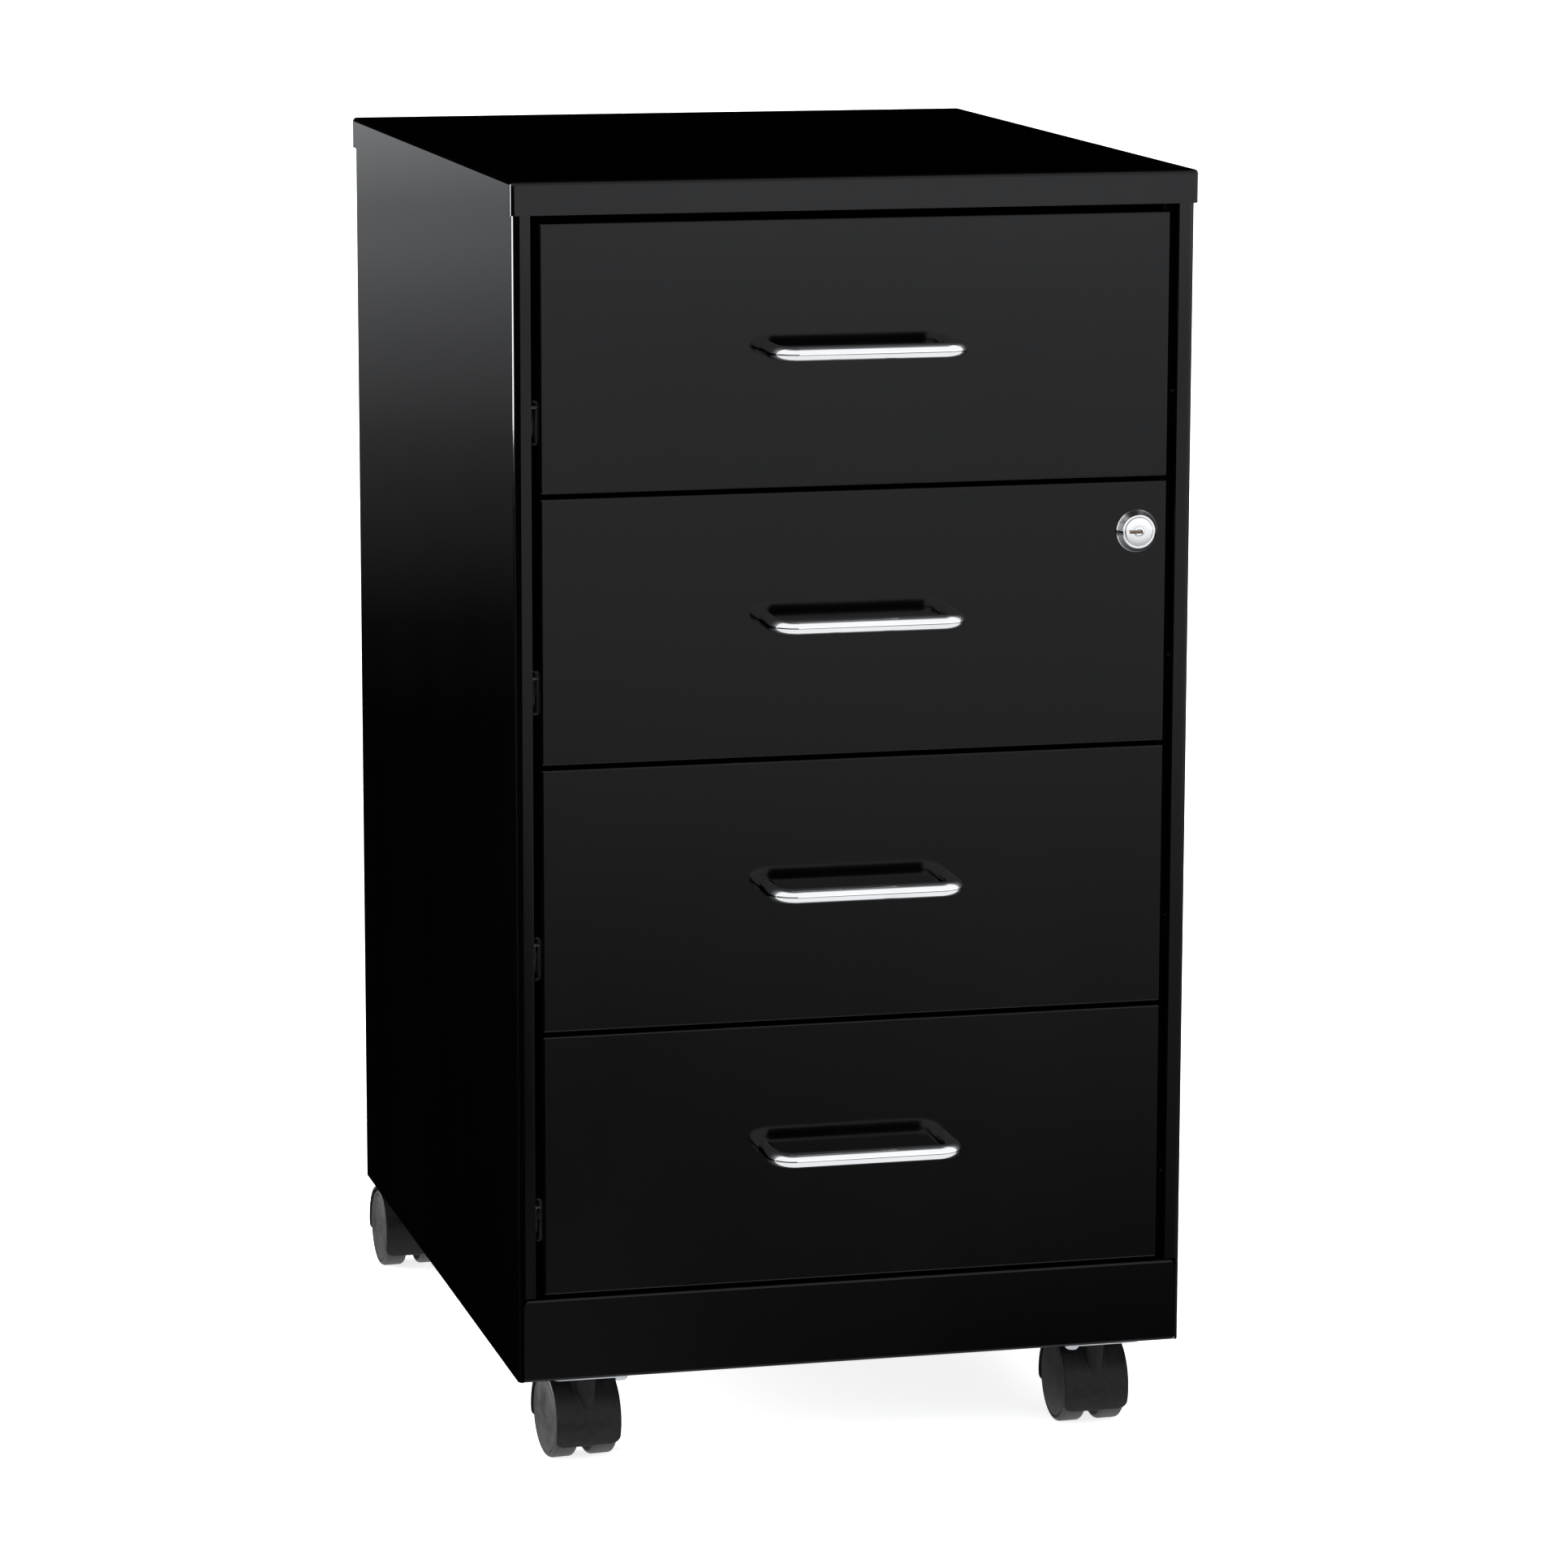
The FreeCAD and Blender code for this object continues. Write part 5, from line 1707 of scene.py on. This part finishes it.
HIGH_STOPS = (
    (-8.5, 0.96),
    (-7.0, 1.06),
    (-5.8, 1.10),
    (-5.4, 1.50),
    (-5.0, 1.75),
    (-2.0, 1.35),
    (4.0, 1.08),
)
OVERHEAD_STOPS = ((55.0, 1.08), (66.0, 0.22), (90.0, 0.05))
FRONT = Sector(
    0.0,
    180.0,
    0.0,
    (
        (-90.0, 0.95),
        (-24.0, 0.95),
        (-20.0, 0.80),
        (-17.2, 0.28),
        (-15.5, 0.27),
        (-13.5, 0.29),
        (-12.0, 0.46),
        (-10.0, 0.80),
        *HIGH_STOPS,
        *OVERHEAD_STOPS,
    ),
)
FRONT_NEAR_LOW = Sector(
    2.0,
    7.5,
    4.5,
    (
        (-90.0, 0.95),
        (-24.0, 0.95),
        (-20.0, 0.80),
        (-17.2, 0.34),
        (-15.5, 0.27),
        (-13.6, 0.10),
        (-12.2, 0.24),
        (-10.0, 0.76),
        *HIGH_STOPS,
        *OVERHEAD_STOPS,
    ),
)
FRONT_RIGHT_LOW = Sector(
    27.0,
    9.5,
    6.5,
    (
        (-90.0, 0.95),
        (-24.0, 0.95),
        (-20.5, 0.50),
        (-18.0, 0.0),
        (-16.5, 0.04),
        (-15.0, 0.16),
        (-13.5, 0.32),
        (-12.0, 0.48),
        (-10.0, 0.82),
        *HIGH_STOPS,
        *OVERHEAD_STOPS,
    ),
)
FRONT_LEFT = Sector(
    -44.5,
    45.0,
    4.0,
    (
        (-90.0, 0.95),
        (-24.0, 0.95),
        (-20.0, 0.60),
        (-17.0, 0.0),
        (-4.5, 0.0),
        (-3.0, 0.90),
        (4.0, 1.08),
        *OVERHEAD_STOPS,
    ),
)
BACK = Sector(
    180.0,
    74.0,
    18.0,
    (
        (-90.0, 0.95),
        (-25.0, 0.85),
        (-20.0, 0.0),
        (-9.9, 0.0),
        (-8.9, 0.006),
        (-7.3, 0.058),
        (-6.1, 0.165),
        (-5.2, 0.285),
        (-4.8, 0.30),
        (-4.1, 0.56),
        (-3.5, 0.60),
        (-1.5, 0.10),
        (0.0, 0.0),
        (55.0, 0.0),
        (70.0, 0.10),
        (90.0, 0.05),
    ),
)


@dataclass
class Stage:
    """Plain pale floor, soft studio surroundings, two lights and the camera."""

    datum: Datum
    azimuth: float = -14.075
    elevation: float = 10.556
    roll: float = 0.141
    distance: float = 3.0571
    aim: tuple[float, float] = (-38.6 * MM, 311.5 * MM)
    lens: float = 135.91
    sensor: float = 36.0
    floor_size: float = 90.0
    tone: tuple[float, float, float] = (0.97, 0.99, 1.02)
    overhead_strength: float = 3.0
    overhead_spread: float = 110.0
    strip_from: tuple[float, float, float] = (-2.065, 0.916, 0.87)
    strip_at: tuple[float, float, float] = (-0.18, -0.217, 0.87)
    strip_size: tuple[float, float] = (1.18, 1.2)
    strip_power: float = 110.0

    def build(self) -> None:
        """Make the floor, the surroundings, the lights and the camera."""
        self.floor()
        self.surroundings((FRONT, FRONT_RIGHT_LOW, FRONT_NEAR_LOW, FRONT_LEFT, BACK))
        self.overhead("overhead_light", self.overhead_strength, self.overhead_spread)
        start = Vector(self.strip_from)
        self.softbox("left_strip", start, Vector(self.strip_at), self.strip_size, self.strip_power)
        self.camera()

    def floor(self) -> None:
        """Lay the floor level with the bottoms of the wheels."""
        mesh = bpy.data.meshes.new("floor")
        half = self.floor_size / 2
        corners = [(-half, -half, 0.0), (half, -half, 0.0), (half, half, 0.0), (-half, half, 0.0)]
        mesh.from_pydata(corners, [], [(0, 1, 2, 3)])
        mesh.materials.append(StageFloor().material())
        floor = bpy.data.objects.new("floor", mesh)
        bpy.context.scene.collection.objects.link(floor)
        floor.visible_glossy = False

    def surroundings(self, sectors: Sequence[Sector]) -> None:
        """World light made of sectors, each laid over the ones before it.

        Args:
            sectors: The first one covers the whole surroundings.
        """
        world = bpy.data.worlds.new("studio")
        bpy.context.scene.world = world
        world.use_nodes = True
        tree = world.node_tree
        tree.nodes.clear()
        coordinates = tree.nodes.new("ShaderNodeTexCoord")
        split = tree.nodes.new("ShaderNodeSeparateXYZ")
        tree.links.new(coordinates.outputs["Generated"], split.inputs["Vector"])
        level = tree.nodes.new("ShaderNodeCombineXYZ")
        tree.links.new(split.outputs["X"], level.inputs["X"])
        tree.links.new(split.outputs["Y"], level.inputs["Y"])
        heading = tree.nodes.new("ShaderNodeVectorMath")
        heading.operation = "NORMALIZE"
        tree.links.new(level.outputs["Vector"], heading.inputs[0])
        light = self.height_ramp(tree, split.outputs["Z"], sectors[0])
        for sector in sectors[1:]:
            mix = tree.nodes.new("ShaderNodeMix")
            mix.data_type = "RGBA"
            tree.links.new(self.share(tree, heading.outputs["Vector"], sector), mix.inputs[0])
            tree.links.new(light, mix.inputs[6])
            tree.links.new(self.height_ramp(tree, split.outputs["Z"], sector), mix.inputs[7])
            light = mix.outputs[2]
        background = tree.nodes.new("ShaderNodeBackground")
        tree.links.new(light, background.inputs["Color"])
        background.inputs["Strength"].default_value = BRIGHTEST
        output = tree.nodes.new("ShaderNodeOutputWorld")
        tree.links.new(background.outputs["Background"], output.inputs["Surface"])

    @staticmethod
    def share(
        tree: bpy.types.NodeTree, heading: bpy.types.NodeSocket, sector: Sector
    ) -> bpy.types.NodeSocket:
        """How far a level direction lies inside a sector.

        Args:
            tree: The world's node tree.
            heading: The direction, level and of unit length.
            sector: The sector.

        Returns:
            1 inside the sector and 0 beyond its soft edge.
        """
        centre = math.radians(sector.centre)
        along = tree.nodes.new("ShaderNodeVectorMath")
        along.operation = "DOT_PRODUCT"
        along.inputs[1].default_value = (math.sin(centre), -math.cos(centre), 0.0)
        tree.links.new(heading, along.inputs[0])
        edge = tree.nodes.new("ShaderNodeMapRange")
        edge.interpolation_type = "SMOOTHSTEP"
        edge.inputs["From Min"].default_value = math.cos(math.radians(sector.half_width + sector.softness))
        edge.inputs["From Max"].default_value = math.cos(math.radians(sector.half_width))
        tree.links.new(along.outputs["Value"], edge.inputs["Value"])
        return edge.outputs["Result"]

    def height_ramp(
        self, tree: bpy.types.NodeTree, height: bpy.types.NodeSocket, sector: Sector
    ) -> bpy.types.NodeSocket:
        """Brightness by height of the direction, as a share of the brightest.

        Args:
            tree: The world's node tree.
            height: Z of the direction, -1 to 1.
            sector: The sector whose stops to use.

        Returns:
            The colour socket.
        """
        scaled = tree.nodes.new("ShaderNodeMapRange")
        scaled.inputs["From Min"].default_value = -1.0
        tree.links.new(height, scaled.inputs["Value"])
        ramp = tree.nodes.new("ShaderNodeValToRGB")
        ramp.color_ramp.interpolation = "LINEAR"
        elements = ramp.color_ramp.elements
        while len(elements) < len(sector.stops):
            elements.new(1.0)
        for element, (elevation, brightness) in zip(elements, sector.stops):
            element.position = (math.sin(math.radians(elevation)) + 1.0) / 2.0
            element.color = (*(brightness / BRIGHTEST * part for part in self.tone), 1.0)
        tree.links.new(scaled.outputs["Result"], ramp.inputs["Fac"])
        return ramp.outputs["Color"]

    @staticmethod
    def overhead(name: str, strength: float, spread: float) -> None:
        """Soft light from straight above that is not mirrored in the enamel.

        Args:
            name: The light's name.
            strength: Its irradiance.
            spread: The angle it fills, in degrees.
        """
        light = bpy.data.lights.new(name, "SUN")
        light.energy = strength
        light.angle = math.radians(spread)
        lamp = bpy.data.objects.new(name, light)
        lamp.visible_glossy = False
        bpy.context.scene.collection.objects.link(lamp)

    @staticmethod
    def softbox(name: str, place: Vector, aim: Vector, size: tuple[float, float], power: float) -> None:
        """Hang one soft area light.

        Args:
            name: The light's name.
            place: Where it hangs.
            aim: What it points at.
            size: Its width and height.
            power: Its power in watts.
        """
        light = bpy.data.lights.new(name, "AREA")
        light.shape = "RECTANGLE"
        light.size, light.size_y = size
        light.energy = power
        lamp = bpy.data.objects.new(name, light)
        lamp.location = place
        lamp.rotation_euler = (aim - place).to_track_quat("-Z", "Y").to_euler()
        bpy.context.scene.collection.objects.link(lamp)

    def camera(self) -> None:
        """Set the camera in front, a little above and to the left."""
        azimuth = math.radians(self.azimuth)
        elevation = math.radians(self.elevation)
        back = Vector(
            (
                math.sin(azimuth) * math.cos(elevation),
                -math.cos(azimuth) * math.cos(elevation),
                math.sin(elevation),
            )
        )
        target = Vector((self.aim[0], self.datum.front_y, self.datum.bottom_z + self.aim[1]))
        data = bpy.data.cameras.new("camera")
        data.lens = self.lens
        data.sensor_width = self.sensor
        camera = bpy.data.objects.new("camera", data)
        camera.location = target + back * self.distance
        look = (-back).to_track_quat("-Z", "Y").to_matrix().to_4x4()
        tilt = Matrix.Rotation(math.radians(self.roll), 4, "Z")
        camera.rotation_euler = (look @ tilt).to_euler()
        bpy.context.scene.collection.objects.link(camera)
        bpy.context.scene.camera = camera


def main() -> None:
    """Build the cabinet, the stage and the camera."""
    logging.basicConfig(level=logging.INFO, format="%(name)s %(message)s")
    bpy.context.scene.view_settings.view_transform = "Standard"
    datum = Datum.read()
    bench = Bench(Finishes())
    Carcass(bench, datum).build()
    for number in DRAWER_NUMBERS:
        Drawer(bench, number).build()
    Lock(bench).build()
    Casters(bench, datum).build()
    Stage(datum).build()
    log.info("%d pieces made", bench.made)


if __name__ == "__main__":
    main()
